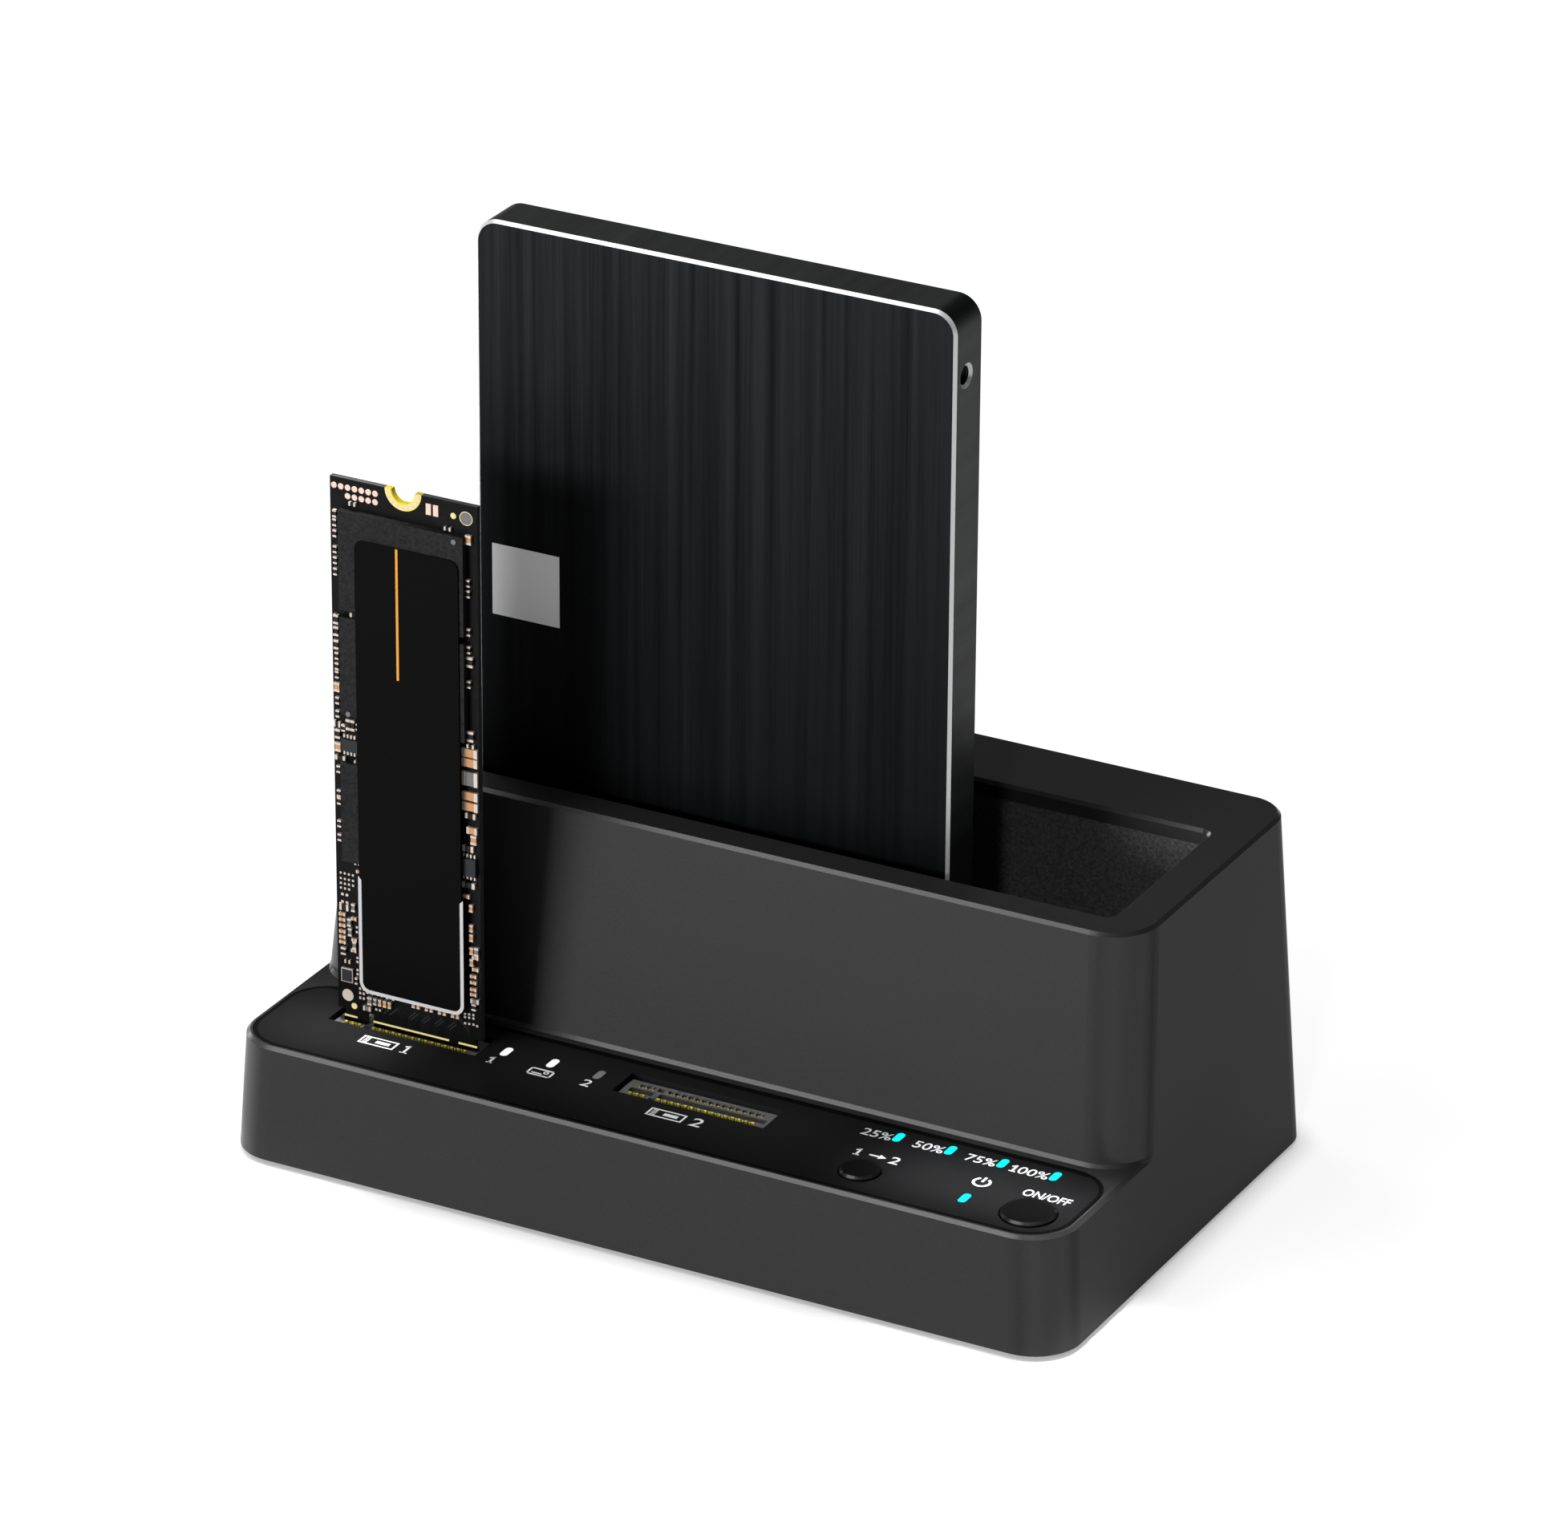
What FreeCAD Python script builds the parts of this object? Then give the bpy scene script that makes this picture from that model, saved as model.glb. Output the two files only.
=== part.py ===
import FreeCAD, Part
import math
import os
from types import SimpleNamespace

import Sketcher

# A desktop drive duplicator: a low deck with two card slots and a control strip in front of a
# tower that holds a bay for a full-size or small drive. X runs to the right along the deck,
# Y to the back and Z up. The origin lies on the desk under the middle of the housing.

os.makedirs("parts", exist_ok=True)
doc = FreeCAD.newDocument("drive_duplicator")

# Driving dimensions in millimetres, and angles in degrees, by the piece that they belong to.
DRIVING = {
    # Housing shell
    "foot_stand": 0.8,
    "deck_height": 16.63,
    "tower_height": 48.02,
    "side_draft": 3.32,
    "front_draft": 2.18,
    "tower_front_draft": 6.84,
    "back_draft": 2.81,
    "front_corner_radius": 6.8,
    "back_corner_radius": 5.5,
    "edge_break": 0.45,
    "shell_wall": 2.2,
    "roof_wall": 2.2,
    "deck_floor": 1.6,
    # Clearances
    "seat_gap": 0.15,
    "slide_gap": 0.2,
    "screw_gap": 0.05,
    # Control strip
    "panel_thick": 1.5,
    "panel_side_inset": 1.935,
    "panel_front_inset": 1.58,
    "panel_back_inset": 1.63,
    "panel_corner_radius": 5.8,
    # Buttons
    "button_front_gap": 1.67,
    "button_end_gap": 4.235,
    "button_proud": 0.5,
    "button_travel": 0.8,
    "button_dome": 0.3,
    "button_flange": 0.45,
    "button_flange_thick": 0.7,
    "stem_radius": 1.4,
    "clone_button_gap": 16.59,
    "clone_button_radius": 2.7,
    "power_button_shift": 1.6,
    "power_button_radius": 3.65,
    "switch_width": 4.5,
    "switch_body_height": 3.4,
    "plunger_radius": 1.0,
    "plunger_height": 1.6,
    # Indicators
    "pill_width": 1.08,
    "pill_length": 2.5,
    "status_left_gap": 3.1,
    "status_right_gap": 3.56,
    "status_pitch": 7.0,
    "status_shift": 0.25,
    "progress_pitch": 7.55,
    "progress_shift": 3.4,
    "power_light_gap": 5.47,
    "led_width": 1.0,
    "led_length": 1.7,
    "led_height": 0.7,
    "light_gap": 0.4,
    "guide_frame_wall": 1.2,
    "guide_frame_height": 3.6,
    # Bottom cover, feet and screws
    "cover_thick": 2.0,
    "foot_radius": 5.0,
    "foot_recess": 0.8,
    "foot_side_inset": 15.135,
    "foot_front_inset": 9.0,
    "foot_back_inset": 9.0,
    "foot_edge": 0.5,
    "boss_radius": 3.0,
    "boss_side_inset": 5.1,
    "boss_switch_gap": 0.45,
    "boss_back_inset": 10.0,
    "screw_radius": 1.2,
    "screw_head_radius": 2.1,
    "screw_head_height": 1.3,
    "cover_screw_length": 8.0,
    "cross_width": 0.6,
    "cross_length": 2.6,
    "cross_depth": 0.7,
    # Main board
    "board_standoff": 2.4,
    "board_thick": 1.6,
    "board_boss_gap": 0.5,
    "board_front_margin": 0.45,
    "board_tab_margin": 0.3,
    "board_back_inset": 3.4,
    "standoff_radius": 2.6,
    "board_screw_well_gap": 4.6,
    "board_screw_front_inset": 9.0,
    "board_screw_back_inset": 8.0,
    "board_screw_length": 3.4,
    # Card sockets
    "slot_end_gap": 9.885,
    "slot_row_gap": 1.015,
    "slot_back_gap": 5.115,
    "well_end_gap": 0.25,
    "well_side_gap": 0.215,
    "socket_drop": 0.75,
    "socket_end_wall": 1.075,
    "socket_side_wall": 0.675,
    "card_thick": 0.8,
    "card_insertion": 1.7,
    "tab_left_margin": 0.7,
    "tab_right_margin": 0.95,
    "key_width": 1.2,
    "contact_pitch": 0.5,
    "contact_width": 0.3,
    "contact_depth": 0.6,
    "contact_height": 1.4,
    "slot_wall": 0.425,
    "pocket_depth": 0.95,
    "pocket_height": 1.6,
    # Flash card
    "shoulder_width": 1.075,
    "card_length": 80.0,
    "tab_height": 3.4,
    "notch_radius": 1.75,
    "ring_width": 1.0,
    "plating": 0.05,
    "finger_width": 0.32,
    "finger_height": 2.25,
    "chip_height": 1.0,
    "flash_side_gap": 1.65,
    "flash_length": 14.0,
    "flash_top_gap": 4.25,
    "flash_gap": 1.0,
    "memory_width": 17.0,
    "memory_length": 14.3,
    "memory_gap": 6.9,
    "memory_shift": -1.0,
    "controller_width": 14.0,
    "controller_length": 14.5,
    "controller_gap": 2.2,
    "card_label_width": 15.5,
    "card_label_thick": 0.2,
    "card_label_top_gap": 7.7,
    "card_label_low_gap": 4.2,
    "card_label_shift": 0.95,
    "passive_width": 0.8,
    "passive_length": 1.6,
    "passive_height": 0.6,
    "passive_pitch": 3.4,
    # Drive bay
    "bay_depth": 29.2,
    "bay_side_rim": 6.05,
    "bay_front_rim": 5.163,
    "bay_back_rim": 13.073,
    "bay_corner_radius": 1.2,
    "bay_floor_height": 25.64,
    "tray_wall": 1.5,
    "post_gap": 0.085,
    "post_radius": 1.9,
    "post_end_inset": 4.1,
    "ear_depth": 6.0,
    "tray_screw_radius": 0.9,
    "tray_screw_head_radius": 1.55,
    "tray_screw_length": 6.0,
    # Riser board and drive socket
    "riser_gap": 4.44,
    "riser_thick": 1.6,
    "riser_left_gap": 2.4,
    "riser_right_gap": 19.6,
    "riser_depth": 24.0,
    "riser_front_gap": 0.8,
    "riser_screw_inset": 3.4,
    "riser_post_radius": 2.6,
    "riser_screw_length": 4.6,
    "sata_x": -14.7,
    "sata_rise": 4.6,
    "sata_flange_overhang": 3.7,
    "sata_flange_step": 1.5,
    "sata_flange_height": 3.9,
    "sata_end_wall": 1.55,
    "sata_side_wall": 0.8,
    "sata_slot_depth": 2.0,
    "signal_slot": 10.5,
    "power_slot": 21.0,
    "slot_rib": 2.0,
    "sata_slot_floor": 5.4,
    "pin_pitch": 1.27,
    "pin_width": 0.6,
    "pin_thick": 0.3,
    "pin_height": 3.6,
    "link_end_gap": 4.9,
    "link_back_gap": 4.5,
    "link_length": 22.0,
    "link_depth": 5.0,
    "link_split": 3.0,
    # Small drive in the bay
    "drive_width": 69.85,
    "drive_height": 100.0,
    "drive_offset": 8.6,
    "drive_front_gap": 1.81,
    "drive_corner_radius": 4.0,
    "drive_edge_break": 0.7,
    "case_wall": 1.0,
    "lid_thick": 0.8,
    "plug_end_gap": 0.6,
    "plug_end_wall": 2.1,
    "plug_side_wall": 0.35,
    "plug_back_gap": 0.35,
    "plug_room": 1.7,
    "tongue_thick": 1.2,
    "tongue_gap": 0.4,
    "tongue_floor": 1.2,
    "drive_board_thick": 1.0,
    "drive_board_height": 62.0,
    "drive_chip_size": 14.0,
    "drive_chip_height": 1.2,
    "sticker_size": 10.1,
    "sticker_thick": 0.1,
    "sticker_x_inset": 2.2,
    "sticker_top_gap": 45.4,
    "side_hole_radius": 1.25,
    "side_hole_depth": 3.0,
    "side_hole_low": 14.0,
    "side_hole_high": 90.6,
    "side_hole_face_gap": 3.0,
    "side_boss_width": 6.0,
    # Ports at the back
    "port_gap": 0.3,
    "port_set_back": 0.6,
    "power_inlet_side_inset": 24.135,
    "power_inlet_width": 9.0,
    "power_inlet_depth": 13.0,
    "power_inlet_height": 10.8,
    "power_inlet_nose": 4.1,
    "power_inlet_bore": 2.85,
    "power_inlet_pin": 1.0,
    "data_port_gap": 20.0,
    "data_port_width": 8.94,
    "data_port_height": 3.26,
    "data_port_shell": 0.3,
    "data_port_depth": 8.0,
    "data_tongue_width": 6.7,
    "data_tongue_thick": 0.7,
    # Parts on the main board
    "bridge_chip_size": 12.0,
    "bridge_chip_height": 1.2,
    "bridge_chip_back_gap": 33.0,
    "spreader_height": 5.0,
    "capacitor_radius": 3.0,
    "capacitor_height": 7.5,
    "capacitor_side_inset": 16.135,
    "capacitor_pitch": 8.0,
    "capacitor_back_gap": 14.0,
    "inductor_size": 7.0,
    "inductor_height": 3.2,
    "inductor_gap": 16.0,
    "inductor_pitch": 9.5,
    "inductor_back_gap": 10.0,
}

# How many of each repeated piece there are
STATUS_LIGHT_COUNT = 3
PROGRESS_LIGHT_COUNT = 4
SHORT_CONTACT_COUNT = 5
LONG_CONTACT_COUNT = 29
SIGNAL_PIN_COUNT = 7
POWER_PIN_COUNT = 15
EDGE_PASSIVE_COUNT = 16
CAPACITOR_COUNT = 3
INDUCTOR_COUNT = 2


class Size:
    """A length from the sheet or worked out from it: text binds objects, number draws sketches."""

    def __init__(self, text, number):
        self.text = text
        self.number = number

    def __add__(self, other):
        other = as_size(other)
        return Size(f"({self.text} + {other.text})", self.number + other.number)

    def __sub__(self, other):
        other = as_size(other)
        return Size(f"({self.text} - {other.text})", self.number - other.number)

    def __mul__(self, other):
        other = as_size(other)
        return Size(f"({self.text} * {other.text})", self.number * other.number)

    def __truediv__(self, other):
        other = as_size(other)
        return Size(f"({self.text} / {other.text})", self.number / other.number)

    def __neg__(self):
        return Size(f"(0 - {self.text})", -self.number)


def as_size(value):
    """The value itself when it is a Size, or a plain number as one."""
    return value if isinstance(value, Size) else Size(f"({value})", value)


def tangent(angle):
    """The tangent of an angle that is held in degrees."""
    return Size(f"tan({angle.text})", math.tan(math.radians(angle.number)))


sheet = doc.addObject("Spreadsheet::Sheet", "Sizes")
for row, (alias, value) in enumerate(DRIVING.items(), start=1):
    sheet.set(f"A{row}", alias)
    sheet.set(f"B{row}", str(value))
    sheet.setAlias(f"B{row}", alias)
doc.recompute()
s = SimpleNamespace(**{alias: Size(f"Sizes.{alias}", value) for alias, value in DRIVING.items()})


def bind(thing, **formulas):
    """Binds an object's properties to formulas; an underscore in a name stands for a dot."""
    for name, formula in formulas.items():
        thing.setExpression(name.replace("_", "."), as_size(formula).text)


def box(name, x, y, z):
    """A block between the pairs of limits x, y and z."""
    block = doc.addObject("Part::Box", name)
    bind(block, Length=x[1] - x[0], Width=y[1] - y[0], Height=z[1] - z[0])
    bind(block, Placement_Base_x=x[0], Placement_Base_y=y[0], Placement_Base_z=z[0])
    return block


def around(middle, width):
    """The two limits of a width about its middle."""
    return (middle - width / 2, middle + width / 2)


def rod(name, x, y, z, radius):
    """An upright cylinder between two heights."""
    cylinder = doc.addObject("Part::Cylinder", name)
    bind(cylinder, Radius=radius, Height=z[1] - z[0])
    bind(cylinder, Placement_Base_x=x, Placement_Base_y=y, Placement_Base_z=z[0])
    return cylinder


def bar(name, axis, x, y, z, length, radius):
    """A cylinder that starts at a point and runs along +X or +Y."""
    cylinder = doc.addObject("Part::Cylinder", name)
    turns = {"X": FreeCAD.Vector(0, 1, 0), "Y": FreeCAD.Vector(-1, 0, 0)}
    cylinder.Placement = FreeCAD.Placement(FreeCAD.Vector(), FreeCAD.Rotation(turns[axis], 90))
    bind(cylinder, Radius=radius, Height=length)
    bind(cylinder, Placement_Base_x=x, Placement_Base_y=y, Placement_Base_z=z)
    return cylinder


def cone(name, x, y, z, low_radius, high_radius):
    """An upright cone frustum between two heights."""
    frustum = doc.addObject("Part::Cone", name)
    bind(frustum, Radius1=low_radius, Radius2=high_radius, Height=z[1] - z[0])
    bind(frustum, Placement_Base_x=x, Placement_Base_y=y, Placement_Base_z=z[0])
    return frustum


def fuse(name, pieces):
    """The pieces joined into one solid."""
    union = doc.addObject("Part::MultiFuse", name)
    union.Shapes = pieces
    union.Refine = True
    return union


def cut(name, base, tools):
    """The base with every tool cut away from it."""
    tool = tools[0] if len(tools) == 1 else fuse(f"{name}_tools", tools)
    difference = doc.addObject("Part::Cut", name)
    difference.Base = base
    difference.Tool = tool
    difference.Refine = True
    return difference


def group(name, pieces):
    """Separate like solids that share one node."""
    compound = doc.addObject("Part::Compound", name)
    compound.Links = pieces
    return compound


def pill(name, x, y, z, width, length):
    """An upright bar with half-round ends, long in Y."""
    half = (length - width) / 2
    middle = box(f"{name}_middle", around(x, width), (y - half, y + half), z)
    ends = [rod(f"{name}_front", x, y - half, z, width / 2)]
    ends.append(rod(f"{name}_back", x, y + half, z, width / 2))
    return fuse(name, [middle] + ends)


def plane_sketch(body, name, role, level):
    """A sketch on the body's own XY plane at height level, or on its XZ plane at depth level."""
    sketch = body.newObject("Sketcher::SketchObject", name)
    plane = [feature for feature in body.Origin.OriginFeatures if feature.Role == role][0]
    sketch.AttachmentSupport = (plane, [""])
    sketch.MapMode = "FlatFace"
    offset = -level if role == "XZ_Plane" else level
    sketch.setExpression("AttachmentOffset.Base.z", offset.text)
    return sketch


def hold(sketch, kind, geometry, point, formula, label):
    """Holds a sketch point at a signed distance from the sketch's origin."""
    if abs(formula.number) < 1e-9:
        axis = -2 if kind == "DistanceX" else -1
        sketch.addConstraint(Sketcher.Constraint("PointOnObject", geometry, point, axis))
        return
    if formula.number > 0:
        held = Sketcher.Constraint(kind, -1, 1, geometry, point, formula.number)
    else:
        formula = -formula
        held = Sketcher.Constraint(kind, geometry, point, -1, 1, formula.number)
    index = sketch.addConstraint(held)
    sketch.renameConstraint(index, label)
    sketch.setExpression(f"Constraints.{label}", formula.text)


def rounded_rectangle(sketch, rect):
    """Draws (west, east, south, north, south radius, north radius) as four lines and four arcs."""
    west, east, south, north, south_radius, north_radius = rect
    w, e, s_, n = west.number, east.number, south.number, north.number
    rs, rn = south_radius.number, north_radius.number
    upright = FreeCAD.Vector(0, 0, 1)

    def line(x1, y1, x2, y2):
        sketch.addGeometry(Part.LineSegment(FreeCAD.Vector(x1, y1, 0), FreeCAD.Vector(x2, y2, 0)))

    def corner(x, y, radius, start):
        circle = Part.Circle(FreeCAD.Vector(x, y, 0), upright, radius)
        first = math.radians(start)
        sketch.addGeometry(Part.ArcOfCircle(circle, first, first + math.pi / 2))

    line(w + rs, s_, e - rs, s_)
    corner(e - rs, s_ + rs, rs, 270)
    line(e, s_ + rs, e, n - rn)
    corner(e - rn, n - rn, rn, 0)
    line(e - rn, n, w + rn, n)
    corner(w + rn, n - rn, rn, 90)
    line(w, n - rn, w, s_ + rs)
    corner(w + rs, s_ + rs, rs, 180)
    sides = 8
    for side in range(sides):
        joint = Sketcher.Constraint("Tangent", side, 2, (side + 1) % sides, 1)
        sketch.addConstraint(joint)
    for flat in (0, 4):
        sketch.addConstraint(Sketcher.Constraint("Horizontal", flat))
    for wall in (2, 6):
        sketch.addConstraint(Sketcher.Constraint("Vertical", wall))
    sketch.addConstraint(Sketcher.Constraint("Equal", 1, 7))
    sketch.addConstraint(Sketcher.Constraint("Equal", 3, 5))
    for arc, radius, label in ((1, south_radius, "south_radius"), (3, north_radius, "north_radius")):
        index = sketch.addConstraint(Sketcher.Constraint("Radius", arc, radius.number))
        sketch.renameConstraint(index, label)
        sketch.setExpression(f"Constraints.{label}", radius.text)
    hold(sketch, "DistanceX", 6, 1, west, "west")
    hold(sketch, "DistanceX", 2, 1, east, "east")
    hold(sketch, "DistanceY", 0, 1, south, "south")
    hold(sketch, "DistanceY", 4, 1, north, "north")


def section(body, name, role, level, rect):
    """A rounded-rectangle sketch at a level of the body."""
    sketch = plane_sketch(body, name, role, level)
    rounded_rectangle(sketch, rect)
    return sketch


def loft(body, name, role, levels, cutting=False):
    """A ruled solid or hollow through rounded rectangles, given as pairs of level and rectangle."""
    sketches = []
    for number, (level, rect) in enumerate(levels):
        sketches.append(section(body, f"{name}_section_{number}", role, level, rect))
    kind = "PartDesign::SubtractiveLoft" if cutting else "PartDesign::AdditiveLoft"
    feature = body.newObject(kind, name)
    feature.Profile = sketches[0]
    feature.Sections = sketches[1:]
    feature.Ruled = True
    feature.Refine = True
    return feature


def slab(name, rect, z):
    """A body with one rounded-rectangle pad between two heights."""
    body = doc.addObject("PartDesign::Body", name)
    sketch = section(body, f"{name}_outline", "XY_Plane", z[0], rect)
    pad = body.newObject("PartDesign::Pad", f"{name}_pad")
    pad.Profile = sketch
    pad.setExpression("Length", (z[1] - z[0]).text)
    return body


def upright_slab(name, rect, y):
    """A body with one rounded-rectangle pad in X and Z, between two depths."""
    body = doc.addObject("PartDesign::Body", name)
    sketch = section(body, f"{name}_outline", "XZ_Plane", y[1], rect)
    pad = body.newObject("PartDesign::Pad", f"{name}_pad")
    pad.Profile = sketch
    pad.setExpression("Length", (y[1] - y[0]).text)
    return body


def turned(name, x, y, profile):
    """A body turned about an upright axis at x and y from points of radius and height."""
    body = doc.addObject("PartDesign::Body", name)
    zero = as_size(0)
    sketch = plane_sketch(body, f"{name}_profile", "XZ_Plane", zero)
    corners = [FreeCAD.Vector(radius.number, height.number, 0) for radius, height in profile]
    count = len(profile)
    for number in range(count):
        sketch.addGeometry(Part.LineSegment(corners[number], corners[(number + 1) % count]))
    for number in range(count):
        following = (number + 1) % count
        sketch.addConstraint(Sketcher.Constraint("Coincident", number, 2, following, 1))
    for number, (radius, height) in enumerate(profile):
        hold(sketch, "DistanceX", number, 1, radius, f"radius_{number}")
        hold(sketch, "DistanceY", number, 1, height, f"height_{number}")
    turn = body.newObject("PartDesign::Revolution", f"{name}_turn")
    turn.Profile = sketch
    turn.ReferenceAxis = (sketch, ["V_Axis"])
    turn.Angle = 360
    bind(body, Placement_Base_x=x, Placement_Base_y=y)
    return body


def grow(rect, amount):
    """A rounded rectangle moved outwards all round."""
    west, east, south, north, south_radius, north_radius = rect
    return (west - amount, east + amount, south - amount, north + amount,
            south_radius + amount, north_radius + amount)


def centred_rect(x, y, width, depth, radius):
    """A rounded rectangle about a centre, with one radius."""
    west, east = around(x, width)
    south, north = around(y, depth)
    return (west, east, south, north, radius, radius)


# Heights above the desk, and lines across it
rim_z = s.foot_stand
deck_z = rim_z + s.deck_height
top_z = rim_z + s.tower_height
panel_low = deck_z - s.panel_thick
deck_under = panel_low - s.deck_floor
cover_top = rim_z + s.cover_thick
board_low = cover_top + s.board_standoff
board_top = board_low + s.board_thick
socket_top = deck_z - s.socket_drop
bay_floor = rim_z + s.bay_floor_height
tray_low = bay_floor - s.tray_wall
riser_top = tray_low - s.riser_gap
riser_low = riser_top - s.riser_thick
card_tip = socket_top - s.card_insertion

# The card's tab, and the socket and well that hold it
tab_width = (s.tab_left_margin + s.contact_pitch * (SHORT_CONTACT_COUNT + LONG_CONTACT_COUNT)
             + s.key_width + s.tab_right_margin)
key_offset = (tab_width / 2 - s.tab_left_margin - s.contact_pitch * SHORT_CONTACT_COUNT
              - s.key_width / 2)
card_width = tab_width + s.shoulder_width * 2
slot_gap = s.card_thick + s.seat_gap * 2
contact_row = slot_gap / 2 + s.slot_wall + s.pocket_depth / 2
socket_length = tab_width + s.socket_end_wall * 2
socket_depth = (contact_row + s.pocket_depth / 2 + s.socket_side_wall) * 2
well_length = socket_length + s.well_end_gap * 2
well_depth = socket_depth + s.well_side_gap * 2

# The deck from left to right, which sets the housing's length
slot_1_left = s.slot_end_gap
status_left = slot_1_left + well_length + s.status_left_gap
slot_2_left = status_left + s.status_pitch * (STATUS_LIGHT_COUNT - 1) + s.status_right_gap
clone_left = slot_2_left + well_length + s.clone_button_gap
power_left = (clone_left + s.progress_pitch * (PROGRESS_LIGHT_COUNT - 1)
              + s.power_button_shift)
housing_length = power_left + s.power_button_radius + s.button_end_gap
side_x = housing_length / 2
slot_1_x = slot_1_left + well_length / 2 - side_x
slot_2_x = slot_2_left + well_length / 2 - side_x
status_x = status_left - side_x
clone_x = clone_left - side_x
power_x = power_left - side_x
power_light_x = power_x - s.power_button_radius - s.power_light_gap

# The housing from front to back, which sets its depth
button_inset = s.panel_front_inset + s.button_front_gap + s.power_button_radius
slot_inset = button_inset + s.power_button_radius + s.slot_row_gap + well_depth / 2
deck_depth = slot_inset + well_depth / 2 + s.slot_back_gap
tower_rise = s.tower_height - s.deck_height
bay_inset = deck_depth + tangent(s.tower_front_draft) * tower_rise + s.bay_front_rim
housing_depth = (bay_inset + s.bay_depth + s.bay_back_rim
                 + tangent(s.back_draft) * s.tower_height)
front_y = -(housing_depth / 2)
back_y = housing_depth / 2
foot_y = front_y + deck_depth
slot_y = front_y + slot_inset
button_y = front_y + button_inset
status_y = slot_y + s.status_shift
progress_y = slot_y + s.progress_shift
bay_front = front_y + bay_inset
bay_back = bay_front + s.bay_depth
bay_right = side_x - tangent(s.side_draft) * s.tower_height - s.bay_side_rim
bay_left = -bay_right

# The drive socket, and the plug and small drive that fit it
nose_length = s.signal_slot + s.slot_rib + s.power_slot + s.sata_end_wall * 2
nose_depth = s.sata_slot_depth + s.sata_side_wall * 2
flange_length = nose_length + s.sata_flange_overhang * 2
flange_depth = nose_depth + s.sata_flange_step * 2
cavity_length = nose_length + s.plug_end_gap * 2
cavity_depth = nose_depth + s.slide_gap * 2
plug_length = cavity_length + s.plug_end_wall * 2
plug_depth = cavity_depth + s.plug_side_wall * 2
plug_height = s.sata_rise + s.plug_room + s.tongue_floor
drive_front = bay_front + s.drive_front_gap
sata_y = drive_front + s.case_wall + s.seat_gap + plug_depth / 2
drive_back = sata_y + plug_depth / 2 + s.plug_back_gap + s.lid_thick
drive_x = s.sata_x + s.drive_offset

# Ports and parts placed from the housing's sides
power_inlet_x = side_x - s.power_inlet_side_inset
data_port_x = power_inlet_x - s.data_port_gap
boss_x = side_x - s.boss_side_inset
boss_front_y = button_y + s.switch_width / 2 + s.boss_switch_gap + s.boss_radius
board_side = boss_x - s.boss_radius - s.board_boss_gap
board_front = button_y - s.switch_width / 2 - s.board_front_margin


def side_at(height):
    """The housing's right side at a height above its bottom rim."""
    return side_x - tangent(s.side_draft) * height


def back_at(height):
    """The housing's back face at a height above its bottom rim."""
    return back_y - tangent(s.back_draft) * height


def front_at(height):
    """The deck's front face at a height above its bottom rim."""
    return front_y + tangent(s.front_draft) * height


def tower_front_at(height):
    """The tower's sloping front face at a height above the bottom rim."""
    return foot_y + tangent(s.tower_front_draft) * (height - s.deck_height)


def outline(height, south):
    """The housing's outline at a height above its rim, with its front edge at south."""
    east = side_at(height)
    return (-east, east, south, back_at(height), s.front_corner_radius, s.back_corner_radius)


def inset(rect, amount):
    """A rounded rectangle moved inwards all round."""
    return grow(rect, -amount)


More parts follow.
